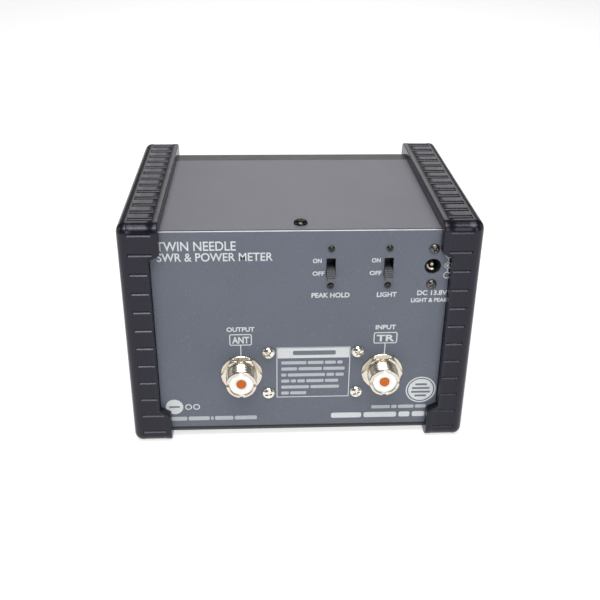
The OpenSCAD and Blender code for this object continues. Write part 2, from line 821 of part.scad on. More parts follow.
// half of a thin ring, above or below the X axis
module half_ring(r, side) {
  intersection() {
    difference() {
      circle(r);
      circle(r - 0.25);
    }
    translate([-10, side == 0 ? 0 : -20]) square(20);
  }
}

module forward_hairspring() { hairspring(pivot_x); }
module reflected_hairspring() { hairspring(-pivot_x); }

// slotted screw under each needle's pivot
module zero_screw(x) {
  color([0.16, 0.16, 0.17]) difference() {
    rod_y(x, zero_z, y_face - 0.8, y_lens + 1.2, zero_r);
    block([x - zero_r - 1, y_face - 2, zero_z - 0.35], [x + zero_r + 1, y_face, zero_z + 0.35]);
  }
}

module forward_zero_screw() { zero_screw(pivot_x); }
module reflected_zero_screw() { zero_screw(-pivot_x); }

// ---- front controls ----

// rotary range switch behind the sub-panel, with its bushing
module range_switch() {
  color([0.50, 0.42, 0.28]) difference() {
    union() {
      rod_y(range_x, control_z, y_sub, y_sub + 12, 10);
      rod_y(range_x, control_z, y_sub - 7.5, y_sub + 1, 4.4);
    }
    rod_y(range_x, control_z, y_sub - 8, y_sub + 9, shaft_bore);
  }
}

// hexagon nut on the bushing
module range_nut() {
  color([0.75, 0.74, 0.70]) translate([range_x, y_seam - 2.4, control_z]) rotate([-90, 0, 0])
    difference() {
      cylinder(r = 6.6, h = 2.4, $fn = 6);
      translate([0, 0, -1]) cylinder(r = 4.45, h = 5);
    }
}

module range_shaft() {
  color([0.72, 0.72, 0.74]) rod_y(range_x, control_z, y_face - 10.5, y_sub + 8.8, shaft_r);
}

// knob with finger grooves and a pointer line
module range_knob() {
  y1 = y_face - knob_out;
  color([0.13, 0.13, 0.15]) difference() {
    union() {
      rod_y(range_x, control_z, y1 + 1, y_face - 0.7, 10.5);
      translate([range_x, y1, control_z]) rotate([-90, 0, 0]) cylinder(r1 = 9.5, r2 = 10.5, h = 1);
    }
    rod_y(range_x, control_z, y_face - 10.7, y_face, shaft_r + fit);
    for (i = [0 : 11])
      translate([range_x, y_face, control_z]) rotate([90, i * 30 + 15, 0])
        translate([11.2, 0, 2.7]) cylinder(r = 1.4, h = 20);
    block([range_x - 0.5, y1 - 1, control_z + 3], [range_x + 0.5, y1 + 0.5, control_z + 11]);
  }
}

// push switch behind the sub-panel
module pep_switch() {
  color([0.30, 0.30, 0.33]) difference() {
    block([pep_x - 5.5, y_sub, control_z - 5.5], [pep_x + 5.5, y_sub + 12, control_z + 5.5]);
    rod_y(pep_x, control_z, y_sub - 1, y_sub + 7, 1.8);
  }
}

// button with the stem that enters its switch
module pep_button() {
  color([0.16, 0.16, 0.18]) {
    rod_y(pep_x, control_z, y_face - 3.5, y_face + 6, 4.5);
    rod_y(pep_x, control_z, y_face + 6, y_sub + 3, 1.5);
  }
}

// ---- circuit board ----

module main_board() {
  color([0.20, 0.42, 0.26]) difference() {
    translate([0, board_y, board_z]) linear_extrude(board_t) rounded(board_w, board_d, 1.5);
    for (sx = [-1, 1], sy = [-1, 1])
      translate([sx * board_screw_x, board_y + sy * board_screw_y, board_z - 1])
        cylinder(r = 1.6, h = 4);
  }
}

// amplifier chips, capacitors and calibration trimmers
module board_parts() {
  z1 = board_z + board_t;
  color([0.15, 0.15, 0.17])
    for (i = [-1 : 1])
      block([i * 24 - 5, board_y - 4, z1], [i * 24 + 5, board_y + 3, z1 + 3.4]);
  color([0.20, 0.25, 0.45])
    for (i = [-2 : 2])
      translate([i * 12 + 4, board_y - 13, z1]) cylinder(r = 2.5, h = 7);
  color([0.25, 0.35, 0.65])
    for (i = [-2 : 1])
      block([i * 16 - 1, board_y + 7, z1], [i * 16 + 6, board_y + 13, z1 + 5]);
}

// two leads from the power inlet down to the circuit board
module power_leads() {
  y_run = y_back - 50;
  for (s = [-1, 1]) {
    x = dc_x + s * 2.4;
    z_turn = board_z + 17 + s * 2.5;
    x_end = 8.5 - board_w / 2 + s * 2.5;
    color(s < 0 ? [0.65, 0.12, 0.10] : [0.12, 0.12, 0.13])
      wire([[x, y_back - 14, z_control - 2], [x, y_run, z_control - 2], [x, y_run, z_turn],
        [x_end, y_run, z_turn], [x_end, y_run, board_z + board_t]], 0.8);
  }
}

rear_panel();
chassis();
top_cover();
front_bezel();
bumper_left();
bumper_right();
bumper_screws();
cover_screw();
chassis_screws();
coupler_box();
coupler_lid();
coupler_screws();
coupler_line();
coupler_core();
coupler_board();
coupler_leads();
ant_socket();
ant_nut();
ant_insulator();
ant_contact();
tr_socket();
tr_nut();
tr_insulator();
tr_contact();
hold_switch();
hold_slider();
light_switch();
light_slider();
switch_screws();
dc_jack();
dc_pin();
dc_spring();
dc_screws();
meter_case();
meter_lens();
meter_screws();
dial_plate();
dial_lamps();
forward_magnet();
forward_bridge();
forward_coil();
forward_needle();
forward_hairspring();
reflected_magnet();
reflected_bridge();
reflected_coil();
reflected_needle();
reflected_hairspring();
forward_zero_screw();
reflected_zero_screw();
range_switch();
range_nut();
range_shaft();
range_knob();
pep_switch();
pep_button();
main_board();
board_parts();
power_leads();
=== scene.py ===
import math

import bmesh
import bpy
from mathutils import Matrix, Vector


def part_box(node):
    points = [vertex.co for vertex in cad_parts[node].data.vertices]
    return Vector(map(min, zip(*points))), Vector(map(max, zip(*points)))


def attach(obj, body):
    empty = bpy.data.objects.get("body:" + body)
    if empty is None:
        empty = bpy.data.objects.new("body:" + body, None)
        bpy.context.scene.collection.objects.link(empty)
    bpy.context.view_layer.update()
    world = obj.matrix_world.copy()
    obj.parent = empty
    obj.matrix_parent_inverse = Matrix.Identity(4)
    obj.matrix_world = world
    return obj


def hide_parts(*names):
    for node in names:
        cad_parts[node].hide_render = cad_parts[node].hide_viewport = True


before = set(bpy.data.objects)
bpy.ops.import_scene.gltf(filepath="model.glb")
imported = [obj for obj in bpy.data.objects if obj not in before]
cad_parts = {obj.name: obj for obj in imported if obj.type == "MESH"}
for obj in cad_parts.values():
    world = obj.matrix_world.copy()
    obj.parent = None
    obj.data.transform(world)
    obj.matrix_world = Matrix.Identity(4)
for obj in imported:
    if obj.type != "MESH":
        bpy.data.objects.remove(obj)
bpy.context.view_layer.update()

# Shapes are worked out in millimetres in the frame's own axes, and MM turns them into metres.
# The meter face looks towards -Y and the rear panel towards +Y.
MM = 0.001


# ---- places in the frame ----

def node_box(node):
    """Lowest and highest corner of a CAD node, in millimetres."""
    low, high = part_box(node)
    return low / MM, high / MM


def middle(node):
    """Middle of a CAD node's box, in millimetres."""
    low, high = node_box(node)
    return (low + high) / 2


def extent(node):
    """Size of a CAD node's box, in millimetres."""
    low, high = node_box(node)
    return high - low


def node_solids(node):
    """Box of each separate solid in a CAD node, in millimetres, in order of its lowest corner."""
    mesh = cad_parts[node].data
    keys = [tuple(round(c / MM, 3) for c in v.co) for v in mesh.vertices]
    parent = {key: key for key in keys}

    def root(key):
        while parent[key] != key:
            parent[key] = parent[parent[key]]
            key = parent[key]
        return key

    for face in mesh.polygons:
        first = root(keys[face.vertices[0]])
        for index in face.vertices[1:]:
            parent[root(keys[index])] = first
    groups = {}
    for key in parent:
        groups.setdefault(root(key), []).append(key)
    boxes = []
    for points in groups.values():
        low = Vector([min(p[i] for p in points) for i in range(3)])
        high = Vector([max(p[i] for p in points) for i in range(3)])
        boxes.append((low, high))
    return sorted(boxes, key=lambda box: tuple(box[0]))


def seats_on_panel(node):
    """Middle of each solid that stands out of the rear panel, on the panel's face."""
    return [((low.x + high.x) / 2, y_panel, (low.z + high.z) / 2)
            for low, high in node_solids(node) if high.y > y_panel]


panel_low, panel_high = node_box("rear_panel")
bezel_low, bezel_high = node_box("front_bezel")
sheet_t = 1.2
panel_t = 1.5
y_panel = panel_high.y
z_top = panel_high.z
z_base = panel_low.z
y_face = bezel_low.y
half_case = bezel_high.x


# ---- materials ----

MATERIALS = {}


def set_inputs(tree, node, **inputs):
    """Sets a node's inputs, or links them from other nodes' outputs."""
    for name, value in inputs.items():
        socket = node.inputs[name.replace("_", " ")]
        if isinstance(value, bpy.types.NodeSocket):
            tree.links.new(value, socket)
        else:
            socket.default_value = value


def add_node(tree, kind, output=0, **inputs):
    """One output of a new node whose inputs are set."""
    node = tree.nodes.new("ShaderNode" + kind)
    set_inputs(tree, node, **inputs)
    return node.outputs[output]


def node_setup(name):
    """Shader, node tree and object coordinates in millimetres of a new material."""
    made = bpy.data.materials.new(name)
    made.use_nodes = True
    MATERIALS[name] = made
    tree = made.node_tree
    place = add_node(tree, "TexCoord", "Object")
    vector = add_node(tree, "Mapping", Vector=place, Scale=(1 / MM, 1 / MM, 1 / MM))
    return tree.nodes["Principled BSDF"], tree, vector


def noise(tree, vector, size, detail=3.0, stretch=None):
    """Noise whose features are about size millimetres across."""
    if stretch:
        vector = add_node(tree, "Mapping", Vector=vector, Scale=stretch)
    return add_node(tree, "TexNoise", Vector=vector, Scale=1 / size, Detail=detail)


def ramp(tree, factor, *stops):
    """Colours along a factor, from (position, colour) pairs."""
    node = tree.nodes.new("ShaderNodeValToRGB")
    for element, (position, colour) in zip(node.color_ramp.elements, stops):
        element.position = position
        element.color = (*colour, 1)
    tree.links.new(factor, node.inputs["Fac"])
    return node.outputs["Color"]


def spread(tree, factor, low, high):
    """A factor of 0.3 to 0.7 spread over low to high."""
    return add_node(tree, "MapRange", Value=factor, From_Min=0.3, From_Max=0.7,
                    To_Min=low, To_Max=high)


def bump(tree, height, depth):
    """Relief of that depth in millimetres."""
    return add_node(tree, "Bump", Height=height, Strength=1, Distance=depth * MM)


def shade(colour, factor):
    """A colour made lighter or darker."""
    return tuple(min(1.0, c * factor) for c in colour)


def drift(tree, vector, colour, size, vary, detail=4):
    """A colour that varies a little over the surface."""
    return ramp(tree, noise(tree, vector, size, detail),
                (0.3, shade(colour, 1 - vary)), (0.7, shade(colour, 1 + vary)))


def paint(name, colour, rough=0.45, grain=0.5, depth=0.012, fleck=0.0):
    """Sprayed paint with a fine texture and, with fleck above 0, a few paler specks."""
    shader, tree, vector = node_setup(name)
    base = drift(tree, vector, colour, 34, 0.035, 3)
    fine = noise(tree, vector, grain, 2)
    if fleck:
        specks = noise(tree, vector, grain * 1.9, 1)
        amount = ramp(tree, specks, (0.66, (0, 0, 0)), (0.76, (fleck, fleck, fleck)))
        mix = tree.nodes.new("ShaderNodeMix")
        mix.data_type = "RGBA"
        set_inputs(tree, mix, A=base, B=(0.62, 0.66, 0.72, 1), Factor=amount)
        base = mix.outputs["Result"]
    set_inputs(tree, shader, Base_Color=base, Normal=bump(tree, fine, depth),
               Roughness=spread(tree, fine, rough - 0.05, rough + 0.07))


def plastic(name, colour, rough=0.4, grain=0.35, depth=0.008, gloss=0.5, vary=0.05,
            tint=(1, 1, 1)):
    """Moulded plastic: a spark-eroded grain, a slow drift of colour and slightly uneven gloss."""
    shader, tree, vector = node_setup(name)
    worn = noise(tree, vector, 8, 3)
    set_inputs(tree, shader, Base_Color=drift(tree, vector, colour, 14, vary),
               Roughness=spread(tree, worn, rough - 0.02, rough + 0.03),
               Specular_IOR_Level=gloss, Specular_Tint=(*tint, 1),
               Normal=bump(tree, noise(tree, vector, grain, 2), depth))


def metal(name, colour, rough=0.25, stretch=(1, 1, 1), size=0.6, depth=0.004, vary=0.08, pure=1):
    """Bare or plated metal, with scratches along the axis that stretch leaves small."""
    shader, tree, vector = node_setup(name)
    lines = noise(tree, vector, size, 3, stretch)
    set_inputs(tree, shader, Base_Color=drift(tree, vector, colour, 6, vary), Metallic=pure,
               Roughness=spread(tree, lines, rough * 0.75, rough * 1.35),
               Normal=bump(tree, lines, depth))


def ink(name, colour):
    """Screen-printed ink, slightly uneven."""
    shader, tree, vector = node_setup(name)
    set_inputs(tree, shader, Base_Color=drift(tree, vector, colour, 1.3, 0.06),
               Roughness=spread(tree, noise(tree, vector, 0.4), 0.5, 0.66))


def clear(name, colour, rough=0.02, cover=1, index=1.49):
    """Clear moulding with faint ripples; cover below 1 lets light straight through."""
    shader, tree, vector = node_setup(name)
    ripple = noise(tree, vector, 26, 1)
    set_inputs(tree, shader, Base_Color=drift(tree, vector, colour, 20, 0.01),
               Transmission_Weight=1, Alpha=cover, IOR=index, Coat_Weight=0.5,
               Roughness=spread(tree, ripple, rough, rough * 2),
               Normal=bump(tree, ripple, 0.02))


def circuit(name, colour, copper):
    """Green board with paler tracks showing through its lacquer."""
    shader, tree, vector = node_setup(name)
    brick = tree.nodes.new("ShaderNodeTexBrick")
    set_inputs(tree, brick, Vector=vector, Scale=0.16, Mortar_Size=0.06, Mortar=(*copper, 1),
               Color1=(*colour, 1), Color2=(*shade(colour, 0.8), 1))
    set_inputs(tree, shader, Base_Color=brick.outputs["Color"], Roughness=0.35,
               Normal=bump(tree, brick.outputs["Fac"], 0.03))


def make_materials():
    """Every finish of the object."""
    paint("panel_paint", (0.103, 0.117, 0.152), 0.40, 0.45, 0.014, fleck=0.1)
    paint("chassis_steel", (0.045, 0.045, 0.052), 0.45)
    paint("cover_paint", (0.152, 0.150, 0.174), 0.50, 0.55, 0.016)
    plastic("bezel_plastic", (0.022, 0.022, 0.026), 0.42)
    plastic("bumper_plastic", (0.004, 0.004, 0.008), 0.27, 0.5, 0.005, 0.44,
            tint=(0.86, 0.84, 1.0))
    metal("black_screw", (0.06, 0.06, 0.055), 0.2)
    metal("zinc_screw", (0.62, 0.62, 0.64), 0.22)
    metal("coupler_metal", (0.62, 0.62, 0.62), 0.35, (0.05, 1, 1))
    metal("nickel", (0.80, 0.77, 0.70), 0.14, (1, 1, 0.1), 0.5, 0.002)
    metal("socket_nickel", (0.71, 0.66, 0.57), 0.21, (1, 1, 0.1), 0.5, 0.001, 0.02)
    metal("dark_nickel", (0.14, 0.135, 0.13), 0.27)
    metal("inlet_metal", (0.86, 0.78, 0.70), 0.45)
    # pale metal strip that paints the highlight along the rear panel's lit top edge
    metal("pale_edge_highlight", (0.85, 0.86, 0.88), 0.45)
    metal("copper", (0.85, 0.45, 0.26), 0.25)
    metal("gold", (0.52, 0.125, 0.006), 0.5, pure=0.3)
    metal("brass", (0.78, 0.58, 0.26), 0.3)
    metal("spring_metal", (0.75, 0.66, 0.48), 0.25)
    metal("shaft_steel", (0.66, 0.66, 0.67), 0.2)
    circuit("board", (0.03, 0.16, 0.07), (0.12, 0.34, 0.16))
    plastic("board_part", (0.03, 0.03, 0.035), 0.4)
    plastic("ferrite", (0.07, 0.07, 0.075), 0.6)
    plastic("lead_cover", (0.03, 0.03, 0.03), 0.5)
    plastic("white_insulator", (0.90, 0.89, 0.86), 0.35, vary=0.02)
    plastic("control_plastic", (0.018, 0.018, 0.020), 0.4)
    plastic("slider_plastic", (0.10, 0.10, 0.11), 0.4)
    # black plastic of the power inlet jack, made darker and duller to paint the shade inside its hole
    plastic("bore_black_painted_shade", (0.006, 0.006, 0.006), 0.75, gloss=0.15)
    plastic("meter_plastic", (0.02, 0.02, 0.02), 0.5)
    clear("lens", (0.97, 0.98, 0.99), cover=0.2, index=1.03)
    clear("lamp", (0.97, 0.93, 0.82), 0.05)
    paint("dial_paint", (0.86, 0.85, 0.79), 0.6, 0.4, 0.004)
    paint("forward_needle_paint", (0.015, 0.015, 0.015), 0.5)
    paint("reflected_needle_paint", (0.55, 0.03, 0.02), 0.5)
    ink("pale_ink", (0.60, 0.62, 0.63))
    ink("soft_ink", (0.43, 0.45, 0.48))
    ink("shade_ink", (0.13, 0.15, 0.18))
    # black for the dial print, and for the painted shadow line under the rear panel
    ink("black_ink_and_painted_shadow", (0.008, 0.008, 0.008))
    ink("red_ink", (0.62, 0.05, 0.03))


# ---- mesh helpers ----

def link_object(name, data):
    """A new object in the scene."""
    thing = bpy.data.objects.new(name, data)
    bpy.context.scene.collection.objects.link(thing)
    return thing


def evaluated(thing):
    """The mesh that an object's curve or modifiers make."""
    bpy.context.view_layer.update()
    graph = bpy.context.evaluated_depsgraph_get()
    return bpy.data.meshes.new_from_object(thing.evaluated_get(graph))


def shade_mesh(mesh, sharp_angle=35):
    """Smooth shading that breaks at edges sharper than the angle."""
    mesh.polygons.foreach_set("use_smooth", [True] * len(mesh.polygons))
    mesh.set_sharp_from_angle(angle=math.radians(sharp_angle))


def build_mesh(name, points, faces, sharp_angle=35):
    """A smooth closed mesh from points in millimetres, sharp where it turns quickly."""
    mesh = bpy.data.meshes.new(name)
    mesh.from_pydata([Vector(p) * MM for p in points], [], faces)
    mesh.validate()
    work = bmesh.new()
    work.from_mesh(mesh)
    bmesh.ops.recalc_face_normals(work, faces=work.faces)
    work.to_mesh(mesh)
    work.free()
    mesh.update()
    shade_mesh(mesh, sharp_angle)
    return mesh


def place_piece(name, mesh, material, body="case", replaces=None, matrix=None):
    """Puts a mesh in the scene, gives it its material and makes it ride on a body."""
    piece = link_object(name, mesh)
    mesh.materials.clear()
    mesh.materials.append(MATERIALS[material])
    if matrix:
        mesh.transform(matrix)
    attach(piece, body)
    if replaces:
        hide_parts(replaces)
    return piece


def axes(origin, right, up, out):
    """A matrix that takes X, Y and Z to three directions round an origin in millimetres."""
    made = Matrix.Identity(4)
    for column, vector in enumerate((right, up, out, Vector(origin) * MM)):
        for row in range(3):
            made[row][column] = vector[row]
    return made


def facing_back(x, y, z):
    """Local Z looks towards +Y, local X towards -X and local Y up."""
    return axes((x, y, z), (-1, 0, 0), (0, 0, 1), (0, 1, 0))


def facing_front(x, y, z):
    """Local Z looks towards -Y, local X towards +X and local Y up."""
    return axes((x, y, z), (1, 0, 0), (0, 0, 1), (0, -1, 0))


def facing_side(x, y, z, side=1):
    """Local Z looks towards +X or -X, and local Y up."""
    return axes((x, y, z), (0, side, 0), (0, 0, 1), (side, 0, 0))


def facing_up(x, y, z):
    """Local axes along the frame's own."""
    return Matrix.Translation(Vector((x, y, z)) * MM)


def ring_grid(rings, closed):
    """Faces between rings of equal size; closed joins the last ring to the first."""
    count, total = len(rings[0]), len(rings)
    faces = []
    for a in range(total if closed else total - 1):
        b = (a + 1) % total
        for i in range(count):
            j = (i + 1) % count
            faces.append((a * count + i, a * count + j, b * count + j, b * count + i))
    return faces


def capped(rings):
    """Points and faces of a solid between its first ring and its last."""
    count = len(rings[0])
    points = [p for ring in rings for p in ring]
    faces = ring_grid(rings, False)
    faces.append(tuple(reversed(range(count))))
    faces.append(tuple(range(len(points) - count, len(points))))
    return points, faces


def lathe(profile, steps=64, closed=False, shape=None):
    """Points and faces of a profile of (radius, height) turned round Z.
    The profile runs with the solid on its left. shape changes a radius by angle and height."""
    rings = []
    for radius, height in profile:
        ring = []
        for i in range(steps):
            angle = 2 * math.pi * i / steps
            r = shape(radius, height, angle) if shape else radius
            ring.append((r * math.cos(angle), r * math.sin(angle), height))
        rings.append(ring)
    if closed:
        return [p for ring in rings for p in ring], ring_grid(rings, True)
    return capped(rings)


def prism(outline, low, high):
    """Points and faces of an outline raised from low to high."""
    return capped([[(x, y, z) for x, y in outline] for z in (low, high)])


def arc(cx, cy, radius, start, end, steps):
    """Points along an arc, with its angles in degrees."""
    made = []
    for i in range(steps + 1):
        angle = math.radians(start + (end - start) * i / steps)
        made.append((cx + radius * math.cos(angle), cy + radius * math.sin(angle)))
    return made


def circle(x, y, radius, steps=32):
    """Points of a circle."""
    return arc(x, y, radius, 0, 360, steps)[:-1]


def rounded_outline(width, height, radius, steps=6):
    """Points round a rounded rectangle, counter-clockwise."""
    x, y = width / 2 - radius, height / 2 - radius
    made = []
    for quarter, (cx, cy) in enumerate(((x, y), (-x, y), (-x, -y), (x, -y))):
        made += arc(cx, cy, radius, 90 * quarter, 90 * quarter + 90, steps)
    return made


def plus_outline(arm, half):
    """Points round a plus sign, from the length of its arms and half their width."""
    made = []
    for c, d in ((1, 0), (0, 1), (-1, 0), (0, -1)):
        made += [(c * arm + d * half, d * arm - c * half),
                 (c * arm - d * half, d * arm + c * half), (half * (c - d), half * (c + d))]
    return made


def moved(outline, x, y):
    """An outline shifted in its plane."""
    return [(px + x, py + y) for px, py in outline]


def raised(name, outline, low, high):
    """A mesh of an outline raised from low to high."""
    return build_mesh(name, *prism(outline, low, high))


def turned(name, profile, steps=64, closed=False, shape=None, sharp_angle=35):
    """A mesh of a profile turned round Z; see lathe."""
    return build_mesh(name, *lathe(profile, steps, closed, shape), sharp_angle)


def carve(mesh, cutter):
    """A mesh with another one cut out of it."""
    body, tool = link_object("carve_body", mesh), link_object("carve_tool", cutter)
    cut = body.modifiers.new("cut", "BOOLEAN")
    cut.operation = "DIFFERENCE"
    cut.solver = "EXACT"
    cut.object = tool
    made = evaluated(body)
    for thing in (body, tool):
        bpy.data.objects.remove(thing)
    shade_mesh(made)
    return made


def joined(name, parts):
    """One mesh from a list of (mesh, matrix)."""
    work = bmesh.new()
    for mesh, matrix in parts:
        first = len(work.verts)
        work.from_mesh(mesh)
        work.verts.ensure_lookup_table()
        bmesh.ops.transform(work, matrix=matrix, verts=work.verts[first:])
    made = bpy.data.meshes.new(name)
    work.to_mesh(made)
    work.free()
    shade_mesh(made)
    return made


# ---- screws ----

def pan_head():
    """A pan-head screw 1 mm in head radius and 1 mm in head height, with a cross recess."""
    head = [(0.5, 0.0), (0.98, 0.0), (1.0, 0.05)]
    for degrees in range(0, 86, 8):
        angle = math.radians(degrees)
        head.append((math.cos(angle), 0.16 + 0.84 * math.sin(angle)))
    floor, top = 0.4, 1.4
    points, faces = prism(plus_outline(0.62, 0.13), floor, top)
    taper = {floor: 0.55, top: 1.25}
    points = [(x * taper[z], y * taper[z], z) for x, y, z in points]
    return carve(turned("pan_head", head, 40), build_mesh("cross_slot", points, faces))


PAN_HEAD = pan_head()


def shank(radius, length, pitch=0.5):
    """Threaded shank that goes down from z = 0."""
    steps = max(6, int(length / pitch) * 2)
    profile = [(radius * 0.7, -length - 0.001)]
    profile += [(radius * (1 if i % 2 else 0.86), -length + length * i / steps)
                for i in range(steps + 1)]
    return turned("shank", profile, 20)


def screws(spots, head_r, head_h, shank_r, length, turn=25):
    """Several equal screws as one mesh; spots are the matrices of their seats."""
    parts = []
    size = Matrix.Diagonal((head_r, head_r, head_h, 1))
    for index, spot in enumerate(spots):
        spin = Matrix.Rotation(math.radians(turn + 37 * index), 4, "Z")
        parts += [(PAN_HEAD, spot @ spin @ size), (shank(shank_r, length), spot)]
    return joined("screws", parts)


# ---- CAD nodes that stay ----

# CAD nodes whose shape stays as it is, under their material.
CARRIED = {
    "chassis_steel": ["chassis"],
    "coupler_metal": ["coupler_box", "coupler_lid"],
    "copper": ["coupler_line", "forward_coil", "reflected_coil"],
    "ferrite": ["coupler_core", "forward_magnet", "reflected_magnet"],
    "board": ["coupler_board", "main_board"],
    "lead_cover": ["coupler_leads", "power_leads"],
    "zinc_screw": ["chassis_screws", "meter_screws"],
    "control_plastic": ["hold_switch", "light_switch", "forward_zero_screw",
                        "reflected_zero_screw"],
    "forward_needle_paint": ["forward_needle"],
    "reflected_needle_paint": ["reflected_needle"],
    "meter_plastic": ["meter_case"],
    "lens": ["meter_lens"],
    "dial_paint": ["dial_plate"],
    "lamp": ["dial_lamps"],
    "brass": ["forward_bridge", "reflected_bridge"],
    "spring_metal": ["forward_hairspring", "reflected_hairspring"],
    "board_part": ["range_switch", "pep_switch", "board_parts"],
    "nickel": ["range_nut"],
    "shaft_steel": ["range_shaft"],
}


def dress(node, material):
    """Gives a CAD node that stays its material."""
    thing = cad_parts[node]
    thing.data.materials.clear()
    thing.data.materials.append(MATERIALS[material])


def carry_nodes():
    """Gives every CAD node that stays its look."""
    for material, nodes in CARRIED.items():
        for node in nodes:
            dress(node, material)
    # the jack's own black plastic, darkened further to paint the shade in its bore
    dress("dc_jack", "bore_black_painted_shade")


# ---- sheet metal and bezel ----

def plate(outline, holes, low, high, edge):
    """A flat plate from low to high with holes, its edges rounded by edge; all in 2D outlines."""
    curve = bpy.data.curves.new("plate", "CURVE")
    curve.dimensions = "2D"
    curve.fill_mode = "BOTH"
    for index, points in enumerate([outline, *holes]):
        turn = sum(a[0] * b[1] - b[0] * a[1] for a, b in zip(points, points[1:] + points[:1]))
        if (turn > 0) == (index > 0):
            points = points[::-1]
        spline = curve.splines.new("POLY")
        spline.points.add(len(points) - 1)
        spline.use_cyclic_u = True
        for spot, (x, y) in zip(spline.points, points):
            spot.co = (x, y, 0, 1)
    curve.extrude = (high - low) / 2 - edge
    curve.bevel_depth = edge
    curve.bevel_resolution = 2
    curve.offset = -edge
    thing = link_object("plate", curve)
    mesh = evaluated(thing)
    bpy.data.objects.remove(thing)
    bpy.data.curves.remove(curve)
    work = bmesh.new()
    work.from_mesh(mesh)
    bmesh.ops.remove_doubles(work, verts=work.verts, dist=0.002)
    for vertex in work.verts:
        vertex.co.z += (low + high) / 2
        vertex.co *= MM
    bmesh.ops.recalc_face_normals(work, faces=work.faces)
    work.to_mesh(mesh)
    work.free()
    shade_mesh(mesh, 50)
    flat = [abs(face.normal.z) < 0.999 for face in mesh.polygons]
    mesh.polygons.foreach_set("use_smooth", flat)
    return mesh


def make_rear_panel():
    """Rear panel with its openings, the tab under the cover and the lip over the chassis."""
    def across(node):
        centre = middle(node)
        return -centre.x, centre.z - z_top

    holes = [circle(*across(side + "_socket"), 7.8, 48) for side in ("ant", "tr")]
    for node in ("hold_switch", "light_switch"):
        x, y = across(node)
        holes.append(moved(rounded_outline(4.6, 9.8, 0.25, 2), x, y))
    holes.append(circle(*across("dc_jack"), 4.15, 40))
    for node, radius in (("coupler_screws", 2.15), ("switch_screws", 1.1), ("dc_screws", 1.6)):
        holes += [circle(-x, z - z_top, radius, 16) for x, y, z in seats_on_panel(node)]
    width, height = panel_high.x - panel_low.x, z_top - z_base
    outline = moved(rounded_outline(width, height, 0.5, 3), 0, -height / 2)
    front = plate(outline, holes, -panel_t, 0, 0.3)
    parts = [(front, facing_back(0, y_panel, z_top))]
    y_inside = y_panel - panel_t
    tab_d = y_inside - panel_low.y
    tab_w, lip_w, lip_d, wing_h = 28, 120, 12, 25
    wing_x = half_case - 2 * sheet_t - 0.2
    tab_y = y_inside - tab_d / 2
    for width, height, spot in (
            (tab_w, tab_d, facing_up(0, tab_y, z_top - 2 * sheet_t)),
            (lip_w, lip_d, facing_up(0, y_inside - lip_d / 2, z_base)),
            (tab_d, wing_h, facing_side(-wing_x - sheet_t / 2, tab_y, (z_top + z_base) / 2)),
            (tab_d, wing_h, facing_side(wing_x - sheet_t / 2, tab_y, (z_top + z_base) / 2))):
        parts.append((plate(rounded_outline(width, height, 1.5), [], 0, sheet_t, 0.15), spot))
    mesh = joined("rear_panel_sheet", parts)
    keep_flat(mesh)
    place_piece("rear_panel_sheet", mesh, "panel_paint", replaces="rear_panel")


def keep_flat(mesh):
    """Flat shading on faces that look straight along an axis, so that only edges look round."""
    straight = [max(abs(c) for c in face.normal) < 0.9995 for face in mesh.polygons]
    mesh.polygons.foreach_set("use_smooth", straight)


def make_cover():
    """Folded cover: an inverted U with rounded folds, drawn out along Y."""
    low, high = node_box("top_cover")
    fold = 1.6
    outline = [(-high.x, low.z)]
    outline += arc(-high.x + fold, high.z - fold, fold, 180, 90, 6)
    outline += arc(high.x - fold, high.z - fold, fold, 90, 0, 6)
    outline.append((high.x, low.z))
    inner_x, inner_z, inner_r = high.x - sheet_t, high.z - sheet_t, fold - sheet_t + 0.2
    outline.append((inner_x, low.z))
    outline += arc(inner_x - inner_r, inner_z - inner_r, inner_r, 0, 90, 4)
    outline += arc(-inner_x + inner_r, inner_z - inner_r, inner_r, 90, 180, 4)
    outline.append((-inner_x, low.z))
    back = high.y - 1.0
    mesh = plate(outline, [], 0, back - low.y, 0.22)
    mesh.transform(facing_front(0, back, 0))
    keep_flat(mesh)
    place_piece("top_cover_sheet", mesh, "cover_paint", replaces="top_cover")


def make_bezel():
    """Moulded bezel: a front wall with the window and holes, and a rim that runs back."""
    width, depth, height = extent("front_bezel")
    mid_z = middle("front_bezel").z
    lens, lens_size = middle("meter_lens"), extent("meter_lens")
    ledge = 2
    wall_t = lens.y - lens_size.y / 2 - y_face
    window = rounded_outline(lens_size.x - 2 * ledge, lens_size.z - 2 * ledge, 1.2, 4)
    holes = [moved(window, 0, lens.z - mid_z)]
    for node, radius in (("range_shaft", 4.2), ("pep_button", 4.8),
                         ("forward_zero_screw", 2.65), ("reflected_zero_screw", 2.65)):
        centre = middle(node)
        holes.append(circle(centre.x, centre.z - mid_z, radius, 40))
    outer = rounded_outline(width, height, 1.2, 4)
    front = plate(outer, holes, -wall_t, 0, 0.5)
    rim_t = 1.8
    inner = rounded_outline(width - 2 * rim_t, height - 2 * rim_t, 0.6, 4)
    rim = plate(outer, [inner], -depth, -wall_t + 0.6, 0.2)
    place = facing_front(0, y_face, mid_z)
    mesh = joined("front_bezel_moulding", [(front, place), (rim, place)])
    keep_flat(mesh)
    place_piece("front_bezel_moulding", mesh, "bezel_plastic",
                replaces="front_bezel")


# ---- bumpers ----

# The outline seen from the side, measured from the node's own box.
bumper_low, bumper_high = node_box("bumper_right")
bump_mid_y, bump_mid_z = middle("bumper_right").yz
bump_half_y, bump_half_z = (extent("bumper_right") / 2).yz
side_x = bumper_high.x
lip_x = bumper_low.x
corner_r = 5.2
run_y = bump_half_y - corner_r
run_z = bump_half_z - corner_r
arc_len = corner_r * math.pi / 2

